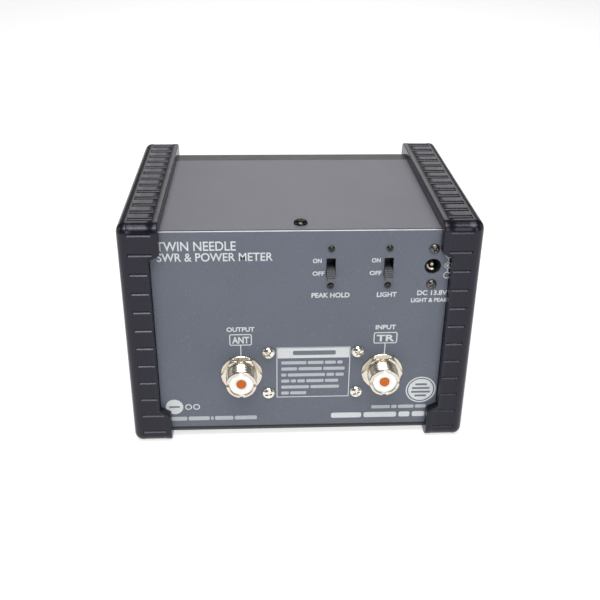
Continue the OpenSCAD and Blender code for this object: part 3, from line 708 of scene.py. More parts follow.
# Sizes of the mouldings across the bumper.
recess_x = side_x - 3.0
recess_half_y = bump_half_y - 20.0
recess_half_z = bump_half_z - 22.0
recess_r = 10.0
groove_end_x = side_x - 5.2
edge_r = 4.5
wide_round, narrow_round = 0.6, 0.2
wide_ridge, narrow_ridge = 2.6, 0.5
contact_r = 1.0
block_high_z = (z_top - 10.0, z_top - 14.0)
block_low_z = (z_base + 11.0, z_base + 15.0)
TOP_GROOVES = 13
TOP_PITCH = 9.77
# Depth across a groove, from its middle outwards: two channels with a low rib between them.
TOP_GROOVE = ((0.0, 0.12), (0.5, 0.12), (0.7, 0.3), (0.76, 1.3), (2.0, 1.35), (2.3, 0.2), (2.5, 0))
END_LINES = 12
END_PITCH = 10.46
END_LINE_UP = 1.0
END_LINE = ((0.0, 0.6), (0.15, 0.6), (0.75, 0.0))

# Lengths of the eight stretches of the outline: rear, arc, top, arc, front, arc, bottom, arc.
STRETCHES = [2 * run_z, arc_len, 2 * run_y, arc_len] * 2
ROUND = sum(STRETCHES)


def outline_at(s):
    """Place (y, z), outward direction and matching recess point at a distance round the outline."""
    s %= ROUND
    index = 0
    while s > STRETCHES[index]:
        s -= STRETCHES[index]
        index += 1
    share = s / STRETCHES[index]
    quarter = index // 2
    angle = math.radians(90 * quarter + (90 * share if index % 2 else 0))
    out = Vector((math.cos(angle), math.sin(angle)))
    corners = [Vector(signs) for signs in ((1, -1), (1, 1), (-1, 1), (-1, -1), (1, -1))]
    start, end = corners[quarter:quarter + 2]
    along = end if index % 2 else start.lerp(end, share)
    here = Vector((along.x * run_y, along.y * run_z)) + out * corner_r
    flat_y, flat_z = recess_half_y - recess_r, recess_half_z - recess_r
    inner = Vector((along.x * flat_y, along.y * flat_z)) + out * recess_r
    centre = Vector((bump_mid_y, bump_mid_z))
    return centre + here, out, centre + inner, quarter


def bumper_features():
    """Distance round the outline and shape of every groove and line."""
    made = []
    rear_start = run_z
    top_mid = STRETCHES[0] + arc_len + run_y
    front_mid = STRETCHES[0] + arc_len + STRETCHES[2] + arc_len + run_z
    low_mid = ROUND - arc_len - run_y
    for i in range(TOP_GROOVES):
        step = (i - (TOP_GROOVES - 1) / 2) * TOP_PITCH
        for mid in (top_mid, low_mid):
            made.append((mid + step, TOP_GROOVE))
    for i in range(END_LINES):
        height = (i - (END_LINES - 1) / 2) * END_PITCH + END_LINE_UP
        beyond = max(0.0, abs(height) - run_z)
        bend = corner_r * math.asin(min(1.0, beyond / corner_r))
        step = math.copysign(min(abs(height), run_z) + bend, height)
        for mid in (rear_start + step, front_mid - step):
            made.append((mid, END_LINE))
    return made


def smoothstep(t):
    """A share from 0 to 1 that starts and ends gently."""
    t = min(1.0, max(0.0, t))
    return t * t * (3 - 2 * t)


def distance_round(a, b):
    """Distance between two places round the outline, the shorter way."""
    return abs((a - b + ROUND / 2) % ROUND - ROUND / 2)


def bumper_stations(features):
    """Distances round the outline where the cross-section is drawn."""
    marks = []
    start = 0.0
    for index, length in enumerate(STRETCHES):
        count = 20 if index % 2 else int(length / 1.0)
        marks += [start + length * i / count for i in range(count)]
        start += length
    clear_marks = []
    for mark in marks:
        near = any(distance_round(mark, centre) < shape[-1][0] + 0.25
                   for centre, shape in features)
        if not near:
            clear_marks.append(mark)
    for centre, shape in features:
        offsets = {side * offset for offset, depth in shape for side in (-1, 1)}
        clear_marks += [(centre + offset) % ROUND for offset in offsets]
    return sorted(clear_marks)


def groove_depth(s, features):
    """Depth of the groove at a distance round the outline."""
    for centre, shape in features:
        off = distance_round(s, centre)
        for (near, deep), (far, shallow) in zip(shape, shape[1:]):
            if near <= off < far:
                return deep + (shallow - deep) * (off - near) / (far - near)
    return 0.0


def lip_share(point, quarter):
    """1 where the lips reach in over the case, 0 along the open stretch of the ends."""
    on_end = abs(point.x - bump_mid_y) > bump_half_y - 2.5
    if not on_end:
        return 1.0
    z = point.y
    if z > bump_mid_z:
        return smoothstep((z - block_high_z[1]) / (block_high_z[0] - block_high_z[1]))
    return smoothstep((block_low_z[1] - z) / (block_low_z[1] - block_low_z[0]))


def contact_at(here):
    """Nearest point of the case's rounded outline, a little inside it."""
    low = (y_face + contact_r, z_base + contact_r)
    high = (y_panel - contact_r, z_top - contact_r)
    core = Vector([min(max(here[i], low[i]), high[i]) for i in range(2)])
    return core + (here - core).normalized() * (contact_r - 0.05)


def bumper_mesh():
    """The +X bumper as rings of cross-sections."""
    features = bumper_features()
    sections = []
    for s in bumper_stations(features):
        here, out, inner, quarter = outline_at(s)
        wide = lip_share(here, quarter)
        x_in = lip_x * wide + (half_case - 0.2) * (1 - wide)
        turn = wide_round * wide + narrow_round * (1 - wide)
        ridge = wide_ridge * wide + narrow_ridge * (1 - wide)
        contact = contact_at(here)
        floor = -0.14 - groove_depth(s, features)
        x_ridge = x_in + turn
        x_groove = x_ridge + ridge
        span = groove_end_x - x_groove
        ring = []
        for x, share in ((half_case + 0.05, 1.0), (x_in, 1.0), (x_in, 0.5)):
            spot = here.lerp(contact, share)
            ring.append((x, spot.x, spot.y))
        profile = arc(x_ridge, -turn, turn, 180, 90, 4)
        profile += [(x_groove - 0.16, 0.0), (x_groove, -0.07), (x_groove + 0.12, floor)]
        profile += [(x_groove + 0.12 + (span - 0.24) * i / 4, floor) for i in range(1, 4)]
        profile += [(groove_end_x - 0.12, floor), (groove_end_x + 0.06, -0.03),
                    (groove_end_x + 0.2, 0.0)]
        profile += arc(side_x - edge_r, -edge_r, edge_r, 90, 0, 10)
        for x, e in profile:
            spot = here + out * e
            ring.append((x, spot.x, spot.y))
        for x, e in ((side_x, 1.0), (side_x - 0.15, 0.5), (side_x - 0.6, 0.15),
                     (recess_x + 0.5, 0.0), (recess_x + 0.12, -0.15), (recess_x, -0.6)):
            spot = inner + out * e
            ring.append((x, spot.x, spot.y))
        sections.append(ring)
    count = len(sections[0])
    points = [p for ring in sections for p in ring]
    faces = []
    total = len(sections)
    for a in range(total):
        b = (a + 1) % total
        for i in range(count - 1):
            faces.append((a * count + i, b * count + i, b * count + i + 1, a * count + i + 1))
    faces.append(tuple(a * count for a in reversed(range(total))))
    faces.append(tuple(a * count + count - 1 for a in range(total)))
    return build_mesh("bumper_right_shell", points, faces, 32)


def make_bumpers():
    right = bumper_mesh()
    left = right.copy()
    left.name = "bumper_left_shell"
    left.transform(Matrix.Scale(-1, 4, (1, 0, 0)))
    left.flip_normals()
    place_piece("bumper_right_shell", right, "bumper_plastic", replaces="bumper_right")
    place_piece("bumper_left_shell", left, "bumper_plastic", replaces="bumper_left")


# ---- coaxial sockets ----

BARREL_R = 7.9375
THREAD_PITCH = 1.058
THREAD_DEPTH = 0.42


def thread(start, end):
    """A radius that follows a screw thread between two heights."""
    def shape(radius, height, angle):
        if not start <= height <= end:
            return radius
        fade = min(1.0, (height - start) / 0.5, (end - height) / 0.5)
        wave = 0.5 - 0.5 * math.cos(2 * math.pi * height / THREAD_PITCH - angle)
        return radius - THREAD_DEPTH * fade * wave
    return shape


def make_socket(side):
    """Threaded shell, washer and nut, insulator and contact of one socket."""
    low, high = node_box(side + "_socket")
    centre = (low + high) / 2
    place = facing_back(centre.x, y_panel, centre.z)
    tip = high.y - y_panel
    core = extent(side + "_insulator").z / 2
    barrel, root = BARREL_R, BARREL_R - 0.34
    inside, thread_low, ring_gap = -4.9, 3.6, 0.12
    steps = int((tip - 4.2) / ring_gap)
    profile = [(core + 0.02, inside), (root, inside), (root, thread_low - 0.3),
               (barrel, thread_low)]
    profile += [(barrel, thread_low + (tip - 4.5) * i / steps) for i in range(1, steps)]
    profile += [(barrel, tip - 0.7), (barrel - 0.12, tip - 0.22), (barrel - 0.45, tip),
                (core + 0.3, tip), (core + 0.06, tip - 0.2), (core + 0.02, tip - 0.5)]
    shell = turned(side + "_shell", profile, 96, True, thread(3.7, tip - 0.9), 50)
    notch = raised("notch", [(5.4, -1), (9, -1), (9, 1), (5.4, 1)], tip - 1.3, tip + 2)
    quarters = [(notch, Matrix.Rotation(math.radians(90 * i), 4, "Z")) for i in range(4)]
    place_piece(side + "_barrel", carve(shell, joined("notches", quarters)), "socket_nickel",
                replaces=side + "_socket", matrix=place)

    nut_size = extent(side + "_nut")
    nut_r, nut_t = nut_size.x / 2, nut_size.y
    washer = [(7.7, 0.0), (nut_r - 0.1, 0.0), (nut_r, 0.1), (nut_r, 0.7), (nut_r - 0.2, 0.9),
              (7.7, 0.9)]

    def hexagon(radius, height, angle):
        flat = (nut_r - 0.05) * math.cos(math.pi / 6)
        wall_r = flat / math.cos(angle % (math.pi / 3) - math.pi / 6)
        return min(radius, wall_r)

    nut = [(7.66, 0.92), (nut_r * 0.93, 0.92), (nut_r + 0.2, 1.3)]
    bevel_w = nut_r + 0.2 - nut_r * 0.88
    bevel_h = bevel_w * 0.55
    nut += [(nut_r + 0.2 - bevel_w * i / 6, nut_t - bevel_h * (1 - i / 6)) for i in range(7)]
    nut += [(8.2, nut_t), (7.66, nut_t - 0.4)]
    both = joined("nut_set", [(turned("washer", washer, 72, True), Matrix()),
                              (turned("nut", nut, 144, True, hexagon, 25), Matrix())])
    place_piece(side + "_nut_set", both, "socket_nickel",
                replaces=side + "_nut", matrix=place)

    face = node_box(side + "_insulator")[1].y - y_panel
    bore = 2.52
    body = [(bore, -4.5), (core - 0.01, -4.5), (core - 0.01, face - 0.35), (core - 0.3, face),
            (bore + 0.9, face), (bore + 0.55, face - 0.25), (bore + 0.25, face - 0.3),
            (bore, face - 0.5)]
    place_piece(side + "_core", turned(side + "_core", body, 64, True), "white_insulator",
                replaces=side + "_insulator", matrix=place)

    reach = node_box(side + "_contact")[1].y - y_panel
    outer = extent(side + "_contact").z / 2
    body = [(0.4, reach - 13), (outer, reach - 12.6), (outer, reach - 0.35),
            (outer - 0.12, reach - 0.08), (outer - 0.35, reach), (0.9, reach - 0.06),
            (0.2, reach - 0.3)]
    place_piece(side + "_pin", turned(side + "_pin", body, 48), "gold",
                replaces=side + "_contact", matrix=place)


# ---- screws that show ----

def make_screws():
    """Every screw whose head shows, seated where its CAD solid stands."""
    def rear(node):
        return [facing_back(*seat) for seat in seats_on_panel(node)]

    lid = [solid for solid in node_solids("coupler_screws") if solid[1].y <= y_panel]
    lid_y = min(low.y for low, high in lid) + 1.6
    lid = [facing_front((low.x + high.x) / 2, lid_y, (low.z + high.z) / 2) for low, high in lid]
    coupler = joined("coupler", [(screws(rear("coupler_screws"), 3.5, 2.5, 2.0, 8.0), Matrix()),
                                 (screws(lid, 2.3, 1.6, 1.25, 7.0), Matrix())])
    cover = middle("cover_screw")
    top = [facing_up(cover.x, cover.y, z_top)]
    sides = []
    for low, high in node_solids("bumper_screws"):
        side = 1 if low.x > 0 else -1
        centre = (low + high) / 2
        sides.append(facing_side(side * recess_x, centre.y, centre.z, side))
    for node, mesh, material, slot in (
            ("coupler_screws", coupler, "nickel", None),
            ("switch_screws", screws(rear("switch_screws"), 1.75, 1.1, 1.0, 4.0),
             "black_screw", None),
            ("dc_screws", screws(rear("dc_screws"), 2.6, 1.8, 1.5, 5.0), "dark_nickel", "nickel"),
            ("cover_screw", screws(top, 3.5, 2.2, 1.48, 5.0, 5), "black_screw", None),
            ("bumper_screws", screws(sides, 3.5, 2.4, 1.95, 14.0), "black_screw", None)):
        name = node.removesuffix("s") + "_set"
        place_piece(name, mesh, material, replaces=node)


# ---- switches and power inlet ----

def make_slider(side):
    """Slider whose head hangs over its slot and has a stepped slope, drawn out along X."""
    low, high = node_box(side + "_slider")
    front_h, steps, head_drop, shoulder = 1.4, 5, 1.0, 1.2
    inner = y_panel - 0.5
    head_low = low.z - head_drop
    top = high.z - shoulder
    step_y = (high.y - inner) / steps
    step_z = (top - head_low - front_h) / steps
    profile = [(low.y, top), (low.y, low.z), (y_panel + 0.4, low.z), (y_panel + 0.4, head_low),
               (high.y, head_low)]
    for i in range(steps):
        y, z = high.y - i * step_y, head_low + front_h + i * step_z
        profile += [(y - 0.02 * step_y, z), (y - 0.08 * step_y, z + 0.3),
                    (y - 0.4 * step_y, z + 0.4), (y - 0.5 * step_y, z - 0.7),
                    (y - 0.9 * step_y, z - 0.7)]
    profile.append((inner, top))
    outline = [(z, y) for y, z in profile]
    points, faces = prism(outline, low.x, high.x)
    mesh = build_mesh(side + "_slide", [(x, y, z) for z, y, x in points], faces)
    piece = place_piece(side + "_slide", mesh, "slider_plastic", side + "_slider",
                        side + "_slider")
    edge = piece.modifiers.new("edge", "BEVEL")
    edge.width = 0.12 * MM
    edge.segments = 2
    edge.limit_method = "ANGLE"
    edge.harden_normals = True


def make_inlet():
    """Centre pin with a rounded tip, and the sprung contact beside it."""
    low, high = node_box("dc_pin")
    centre = (low + high) / 2
    length = high.y - low.y
    place = facing_back(centre.x, low.y, centre.z)
    profile = [(1.1, 0.0), (1.3, 0.2), (1.3, 5.9), (1.05, 6.1), (1.05, length - 0.7),
               (0.9, length - 0.25), (0.6, length - 0.02), (0.35, length), (0.3, length - 0.7),
               (0.02, length - 0.9)]
    place_piece("inlet_pin", turned("inlet_pin", profile, 32), "inlet_metal",
                replaces="dc_pin", matrix=place)

    low, high = node_box("dc_spring")
    jack = middle("dc_jack")
    outer = (high.x - jack.x) / math.cos(math.radians(7)) * 0.995
    section = [(outer, 0.0), (outer, 0.9), (outer - 0.15, 0.98), (outer - 0.5, 1.0),
               (outer - 1.1, 0.97), (outer - 1.25, 0.92), (outer - 1.05, 0.87),
               (outer - 0.36, 0.82), (outer - 0.36, 0.0)]
    rings = []
    for i in range(25):
        angle = math.radians(6 - 115 * i / 24)
        rings.append([(jack.x + r * math.cos(angle), low.y + (high.y - low.y) * t,
                       jack.z + r * math.sin(angle)) for r, t in section])
    place_piece("inlet_spring", build_mesh("inlet_spring", *capped(rings)), "inlet_metal",
                replaces="dc_spring")


# ---- printing ----

# Height of the ink, and of a capital letter in the font for a size of 1.
INK = 0.045
CAP = 0.73


class Sheet:
    """Flat printed shapes collected into one thin mesh, in the plane of a face."""

    def __init__(self):
        self.work = bmesh.new()

    def add(self, mesh, x=0.0, y=0.0):
        """Takes in a mesh, shifted in the plane."""
        first = len(self.work.verts)
        self.work.from_mesh(mesh)
        self.work.verts.ensure_lookup_table()
        shift = Matrix.Translation((x * MM, y * MM, 0))
        bmesh.ops.transform(self.work, matrix=shift, verts=self.work.verts[first:])
        bpy.data.meshes.remove(mesh)

    def words(self, text, x, y, height, width=None, align="centre", bold=0.03):
        """Letters of a cap height, set from a baseline point, drawn to a width if it is given."""
        curve = bpy.data.curves.new("words", "FONT")
        curve.body = text
        curve.size = 1
        curve.offset = bold
        thing = link_object("words", curve)
        flat = evaluated(thing)
        bpy.data.objects.remove(thing)
        bpy.data.curves.remove(curve)
        thick = bmesh.new()
        thick.from_mesh(flat)
        bpy.data.meshes.remove(flat)
        bmesh.ops.remove_doubles(thick, verts=thick.verts, dist=1e-5)
        raised = bmesh.ops.extrude_face_region(thick, geom=thick.faces[:])
        for item in raised["geom"]:
            if isinstance(item, bmesh.types.BMVert):
                item.co.z += 1
        bmesh.ops.recalc_face_normals(thick, faces=thick.faces)
        xs = [v.co.x for v in thick.verts]
        size = height / CAP
        stretch = width / (max(xs) - min(xs)) if width else size
        shift = {"left": min(xs), "centre": (min(xs) + max(xs)) / 2, "right": max(xs)}[align]
        for vertex in thick.verts:
            vertex.co.x = (vertex.co.x - shift) * stretch * MM
            vertex.co.y *= size * MM
            vertex.co.z *= INK * MM
        mesh = bpy.data.meshes.new("words")
        thick.to_mesh(mesh)
        thick.free()
        self.add(mesh, x, y)

    def fill(self, outline, x=0.0, y=0.0):
        """The area inside an outline."""
        self.add(raised("fill", outline, 0, INK), x, y)

    def bar(self, x1, y1, x2, y2, radius=None):
        """A filled bar between two corners, with rounded ends."""
        width, height = abs(x2 - x1), abs(y2 - y1)
        radius = min(width, height) * 0.3 if radius is None else radius
        self.fill(rounded_outline(width, height, radius, 3), (x1 + x2) / 2, (y1 + y2) / 2)

    def frame(self, x1, y1, x2, y2, line, radius):
        """A rounded frame of a line width."""
        width, height = abs(x2 - x1), abs(y2 - y1)
        outer = rounded_outline(width, height, radius)
        inner = rounded_outline(width - 2 * line, height - 2 * line, max(0.05, radius - line))
        self.band(outer, inner, (x1 + x2) / 2, (y1 + y2) / 2)

    def ring(self, x, y, radius, line, start=0, end=360):
        """A ring, or an arc of one."""
        steps = max(8, int(abs(end - start) / 8))
        outer = arc(0, 0, radius, start, end, steps)
        inner = arc(0, 0, radius - line, start, end, steps)
        if end - start == 360:
            self.band(outer[:-1], inner[:-1], x, y)
        else:
            self.fill(outer + inner[::-1], x, y)

    def disc(self, x, y, radius):
        self.fill(circle(0, 0, radius, 40), x, y)

    def band(self, outer, inner, x, y):
        """The area between two outlines that have as many points."""
        rings = [[(px, py, z) for px, py in outline]
                 for outline, z in ((outer, 0), (outer, INK), (inner, INK), (inner, 0))]
        points = [p for ring in rings for p in ring]
        self.add(build_mesh("band", points, ring_grid(rings, True)), x, y)

    def line(self, points, width):
        """A stroke of a width along points."""
        left, right = [], []
        for i, point in enumerate(points):
            before = Vector(points[max(0, i - 1)])
            after = Vector(points[min(len(points) - 1, i + 1)])
            along = (after - before).normalized()
            side = Vector((-along.y, along.x)) * (width / 2)
            left.append(tuple(Vector(point) + side))
            right.append(tuple(Vector(point) - side))
        self.fill(right + left[::-1])

    def writing(self, x, y, height, words, gap=0.75):
        """Plain bars in place of a line of small writing; words are their lengths."""
        for word in words:
            self.bar(x, y, x + word, y + height, height * 0.3)
            x += word + gap

    def piece(self, name, matrix, material, slot, body="case"):
        """The whole sheet as one piece."""
        mesh = bpy.data.meshes.new(name)
        self.work.to_mesh(mesh)
        self.work.free()
        mesh.polygons.foreach_set("use_smooth", [False] * len(mesh.polygons))
        place_piece(name, mesh, material, body, matrix=matrix)


def make_panel_edge():
    """Pale metal strip along the cut upper edge of the rear panel: a painted highlight on the edge
    that catches the light from above.
    """
    edge = Sheet()
    reach = panel_high.x - 0.8
    edge.bar(-reach, -panel_t + 0.25, reach, -0.2, 0.1)
    edge.piece("panel_edge", facing_up(0, y_panel, z_top), "pale_edge_highlight", "panel_paint")


def make_rear_print():
    """Legends of the rear panel, from its top edge's middle: x to the right, y up."""
    place = facing_back(0, y_panel, z_top)
    pale = Sheet()
    pale.words("TWIN NEEDLE", -71, -9.8, 5.1, 38.8, "left", bold=0.012)
    pale.words("SWR & POWER METER", -71, -15.5, 4.6, 56.9, "left", bold=0.012)
    for x, shift, caption, width in ((8.7, -0.75, "PEAK HOLD", 19.4), (37.4, 0, "LIGHT", 10.2)):
        pale.words("ON", x + shift, -17.0, 2.3, 4.4)
        pale.words("OFF", x, -24.0, 2.3, 6.0)
        pale.words(caption, x + 6.4, -36.4, 2.7, width)
    pale.words("OUTPUT", -30.9, -55.6, 2.6, 14.4)
    pale.words("INPUT", 44.4, -55.4, 2.6, 10.6)
    for x, word, half in ((-31.0, "ANT", 5.85), (44.6, "TR", 6.25)):
        pale.frame(x - half, -57.2, x + half, -64.0, 0.55, 1.1)
        pale.words(word, x, -62.6, 3.9, half * 1.5)
        pale.bar(x - 0.25, -64.0, x + 0.25, -70.4, 0.1)
    pale.words("DC 13.8V", 59.3, -35.7, 2.7, 15.4, "left")
    pale.words("LIGHT & PEAK", 56.4, -39.7, 2.3, 19.0, "left")
    polarity(pale, 73.6)
    # plain notice panel: a frame, a pale heading and rows of bars
    pale.frame(-12.4, -65.5, 26.55, -96.8, 0.45, 0.3)
    pale.bar(-12.2, -65.7, 26.35, -72.2, 0.2)
    soft = Sheet()
    rows = ((13.3, 8.3, 5.8, 2.8), (8.4, 12.4, 11.4), (2.7, 19.9, 4.1, 4.4),
            (4.3, 2.8, 4.0, 9.3, 7.1), (14.9, 15.4), (4.1, 8.6))
    for i, row in enumerate(rows):
        soft.writing(-9.9, -76.0 - 3.8 * i, 1.9, row)
    # badge and small marks
    pale.ring(65.7, -93.4, 8.2, 0.7)
    pale.disc(65.7, -93.4, 6.8)
    pale.disc(-67.4, -101.8, 4.7)
    pale.ring(-59.9, -102.0, 1.85, 0.6)
    pale.ring(-55.6, -102.0, 1.85, 0.6)

    soft.writing(-71.0, -110.8, 2.5, (10.0, 11.4, 1.4, 10.0, 12.0))
    soft.writing(39.3, -105.2, 2.1, (10.2, 3.0, 8.6, 6.0))
    pale.writing(17.4, -110.9, 3.3, (16.6, 18.0, 6.1, 7.0), 1.3)
    pale.piece("rear_legends", place, "pale_ink", "panel_paint")
    soft.piece("rear_small_print", place, "soft_ink", "panel_paint")

    dark = Sheet()
    dark.writing(-3.8, -70.3, 2.6, (22.6,))
    for i, half in enumerate((3.2, 4.8, 5.2, 3.2)):
        y = -89.4 - i * 2.4
        dark.bar(65.7 - half, y, 65.7 + half, y - 1.2)
    dark.bar(-70.3, -101.3, -64.5, -102.3)
    dark.piece("rear_dark_print", facing_back(0, y_panel + INK, z_top), "shade_ink",
               "panel_paint")


def make_base_shadow_line():
    """Black line along the lower edge of the rear panel: painted shadow of the gap under it."""
    line = Sheet()
    reach = panel_high.x - 0.6
    line.bar(-reach, 0.05, reach, 1.25, 0.05)
    line.piece("panel_base_painted_shadow", facing_back(0, y_panel, z_base), "black_ink_and_painted_shadow",
               "panel_paint")


def polarity(sheet, x):
    """Signs for the inlet's poles: two small rings joined to a centre dot in an open ring."""
    sheet.ring(x, -13.8, 1.4, 0.35)
    sheet.bar(x - 0.2, -15.2, x + 0.2, -18.6, 0.05)
    sheet.ring(x, -19.2, 1.7, 0.35, 40, 320)
    sheet.disc(x, -19.2, 0.75)
    sheet.bar(x - 0.2, -20.9, x + 0.2, -22.8, 0.05)
    sheet.ring(x, -24.6, 1.8, 0.4)


# ---- front controls and dial ----

def make_knob():
    """Range knob: fluted skirt, bevelled crown with a shallow dish, and its pointer line."""
    low, high = node_box("range_knob")
    centre = (low + high) / 2
    radius, depth = (high.x - low.x) / 2, high.y - low.y
    flutes, flute_depth, skirt = 18, 0.55, 2.2

    def fluted(r, height, angle):
        if not skirt < height < depth - 1.0:
            return r
        return r - flute_depth * (0.5 + 0.5 * math.cos(flutes * angle))

    profile = [(3.1, 0.0), (radius - 0.3, 0.0), (radius - 0.05, 0.25), (radius - 0.05, skirt),
               (radius - 0.3, skirt + 0.1), (radius - 0.35, skirt + 0.4)]
    profile += [(radius - 0.35 - 0.5 * t, skirt + 0.4 + (depth - 1.6 - skirt) * t)
                for t in (0.2, 0.4, 0.6, 0.8, 1.0)]
    profile += arc(radius - 1.85, depth - 1.0, 1.0, 0, 90, 5)
    profile += [(radius - 2.6, depth), (radius - 2.9, depth - 0.35), (1.0, depth - 0.35)]
    profile += [(0.3, depth - 0.35), (0.3, 5.0), (3.1, 4.8)]
    place_piece("range_dial", turned("range_dial", profile, 216, True, fluted, 40),
                "control_plastic", "range_knob", replaces="range_knob",
                matrix=facing_front(centre.x, high.y, centre.z))
    mark = Sheet()
    mark.bar(-0.5, 2.4, 0.5, radius - 3.0, 0.2)
    at_front = facing_front(centre.x, low.y + 0.35, centre.z)
    mark.piece("range_mark", at_front, "pale_ink", "control_plastic", "range_knob")


def make_button():
    """Push button with a dished, rounded cap and its stem."""
    low, high = node_box("pep_button")
    centre = (low + high) / 2
    radius, depth = (high.x - low.x) / 2, high.y - low.y
    stem_length = 9.4
    cap = depth - stem_length
    profile = [(1.45, 0.0), (1.45, cap), (radius - 0.3, cap), (radius - 0.02, cap + 0.3),
               (radius - 0.02, depth - 0.8)]
    profile += arc(radius - 0.72, depth - 0.7, 0.7, 0, 90, 5)
    profile += [(radius - 1.5, depth - 0.1), (1.6, depth - 0.32), (0.5, depth - 0.38)]
    place_piece("pep_cap", turned("pep_cap", profile), "control_plastic", "pep_button",
                replaces="pep_button", matrix=facing_front(centre.x, high.y, centre.z))


def make_front_print():
    """Plain legends and range marks round the front controls."""
    knob, button = middle("range_knob"), middle("pep_button")
    knob_r = extent("range_knob").x / 2
    sheet = Sheet()
    for turn, caption in ((0, "20"), (30, "200"), (60, "2K")):
        angle = math.radians(90 - turn)
        c, d = math.cos(angle), math.sin(angle)
        inner, outer = knob_r + 1.0, knob_r + 2.4
        sheet.line([(knob.x + inner * c, knob.z + inner * d),
                    (knob.x + outer * c, knob.z + outer * d)], 0.5)
        sheet.words(caption, knob.x + (outer + 2.6) * c, knob.z + (outer + 1.4) * d - 0.6, 1.9)
    sheet.words("RANGE", knob.x + knob_r + 9.5, knob.z - 1.1, 2.2)
    sheet.words("PEAK", button.x, button.z + 6.4, 2.2)
    sheet.ring(button.x, button.z, 5.7, 0.35)
    sheet.words("SWR & POWER METER", 0, button.z - 1.3, 2.8)
    sheet.piece("front_legends", facing_front(0, y_face, 0), "pale_ink",
                "bezel_plastic")


# The two needles cross over the dial. REST and SWING are their angles above level, in degrees.
REST, SWING = 12, 52
ARC_R = 64.5
POWER_STEPS = (0, 1, 2, 4, 6, 8, 10, 15, 20)
REFLECTED_SHARE = 5


def dial_angle(share):
    """Angle of a needle above level for a share of its full power."""
    return math.radians(REST + SWING * math.sqrt(share))


def make_dial_print():
    """Two power arcs round the pivots and the red curves of equal standing-wave ratio."""
    pivot_x = abs(middle("forward_zero_screw").x)
    pivot_z = node_box("meter_lens")[0].z + 9.0
    black, red = Sheet(), Sheet()
    for side in (1, -1):
        full = POWER_STEPS[-1]

        def at(radius, share):
            angle = dial_angle(share)
            return side * (pivot_x - radius * math.cos(angle)), pivot_z + radius * math.sin(angle)

        shares = [(i / 40) ** 2 for i in range(41)]
        black.line([at(ARC_R, share) for share in shares], 0.35)
        for power in POWER_STEPS:
            share = power / full
            black.line([at(ARC_R, share), at(ARC_R + 2.2, share)], 0.4)
            x, y = at(ARC_R + 4.6, share)
            value = power if side > 0 else power / REFLECTED_SHARE
            black.words(f"{value:g}", x, y - 0.9, 1.8, bold=0.0)
        for small in range(1, full):
            if small not in POWER_STEPS:
                black.line([at(ARC_R, small / full), at(ARC_R + 1.2, small / full)], 0.22)
    for ratio in (1.2, 1.5, 2, 3, 5):
        returned = (ratio - 1) / (ratio + 1) * math.sqrt(REFLECTED_SHARE)
        top = min(1.0, 1 / returned)
        curve = []
        for i in range(25):
            drive = top * (0.3 + 0.7 * i / 24)
            ahead, back = dial_angle(drive ** 2), dial_angle((drive * returned) ** 2)
            reach = 2 * pivot_x * math.sin(back) / math.sin(ahead + back)
            curve.append((pivot_x - reach * math.cos(ahead), pivot_z + reach * math.sin(ahead)))
        red.line(curve, 0.35)
        red.words(f"{ratio:g}", curve[-1][0], curve[-1][1] + 1.0, 1.7, bold=0.0)
    black.words("FORWARD W", -52, pivot_z + 56, 2.4, None, "left")
    black.words("REFLECTED W", 52, pivot_z + 56, 2.4, None, "right")
    red.words("SWR", 0, pivot_z + 9.6, 2.6)
    place = facing_front(0, node_box("dial_plate")[0].y, 0)
    black.piece("dial_black_print", place, "black_ink_and_painted_shadow", "dial_paint")
    red.piece("dial_red_print", place, "red_ink", "dial_paint")


# ---- floor, lights and camera ----

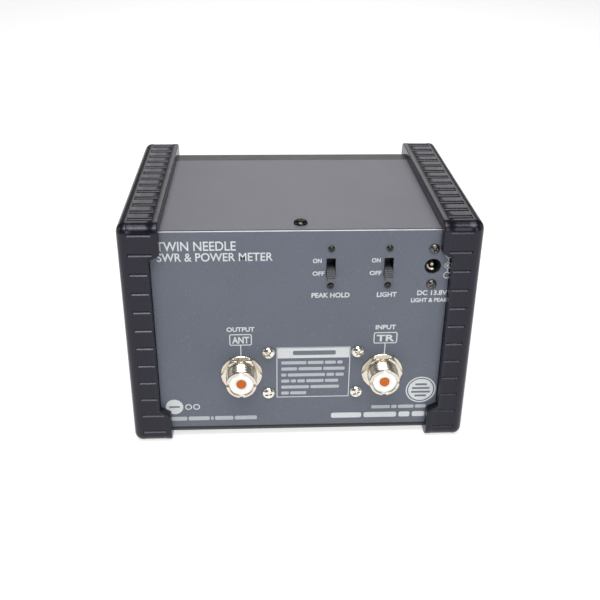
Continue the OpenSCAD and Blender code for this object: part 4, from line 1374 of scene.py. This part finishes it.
def make_floor():
    mesh = bpy.data.meshes.new("floor")
    half = 4.0
    mesh.from_pydata([(-half, -half, 0), (half, -half, 0), (half, half, 0), (-half, half, 0)],
                     [], [(0, 1, 2, 3)])
    floor = link_object("floor", mesh)
    shader, tree, vector = node_setup("floor")
    set_inputs(tree, shader, Base_Color=drift(tree, vector, (0.45, 0.45, 0.455), 60, 0.005),
               Roughness=0.9, Emission_Color=(1, 1, 1, 1), Emission_Strength=0.72)
    mesh.materials.append(MATERIALS["floor"])


def soft_light(name, place, aim, size, power, length=None):
    """A soft light in metres pointed at aim: round, or with length a box that runs along Y."""
    data = bpy.data.lights.new(name, "AREA")
    data.shape = "RECTANGLE" if length else "DISK"
    data.size = size
    if length:
        data.size_y = length
    data.energy = power
    thing = link_object(name, data)
    thing.location = place
    thing.rotation_euler = (Vector(aim) - Vector(place)).to_track_quat("-Z", "Y").to_euler()


def make_lights():
    aim = (0, 0.03, 0.07)
    soft_light("key", (0.1, 0.55, 1.5), aim, 0.75, 15, 1.7)
    soft_light("strip", (0.0, 0.78, 1.42), aim, 1.3, 8.5, 0.2)
    soft_light("camera_fill", (-0.4, 1.5, 0.55), aim, 0.8, 4)
    soft_light("fill_left", (1.5, 0.1, 0.7), aim, 0.9, 2.4)
    soft_light("fill_right", (-1.6, 0.1, 0.6), aim, 0.9, 1.5)
    soft_light("front", (-0.1, -1.5, 1.0), aim, 1.2, 5)
    world = bpy.data.worlds.new("studio")
    world.use_nodes = True
    set_inputs(world.node_tree, world.node_tree.nodes["Background"], Color=(1, 1, 1, 1),
               Strength=0.14)
    bpy.context.scene.world = world


def make_camera():
    """Camera on the rear side, above the object and a little towards +X."""
    data = bpy.data.cameras.new("camera")
    data.lens = 50.26
    data.sensor_width = 36
    camera = link_object("camera", data)
    place = (20.9, y_panel + 376.3, z_top + 159.2)
    right = (-0.99875, 0.04871, 0.01092)
    up = (-0.0129, -0.46301, 0.88624)
    back = (0.04822, 0.885, 0.46307)
    camera.matrix_world = axes(place, right, up, back)
    bpy.context.scene.camera = camera



make_camera()
make_materials()
carry_nodes()
make_rear_panel()
make_cover()
make_bezel()
make_bumpers()
make_socket("ant")
make_socket("tr")
make_screws()
make_slider("hold")
make_slider("light")
make_inlet()
make_panel_edge()
make_rear_print()
make_base_shadow_line()
make_knob()
make_button()
make_front_print()
make_dial_print()
make_floor()
make_lights()
bpy.context.scene.view_settings.view_transform = "Standard"
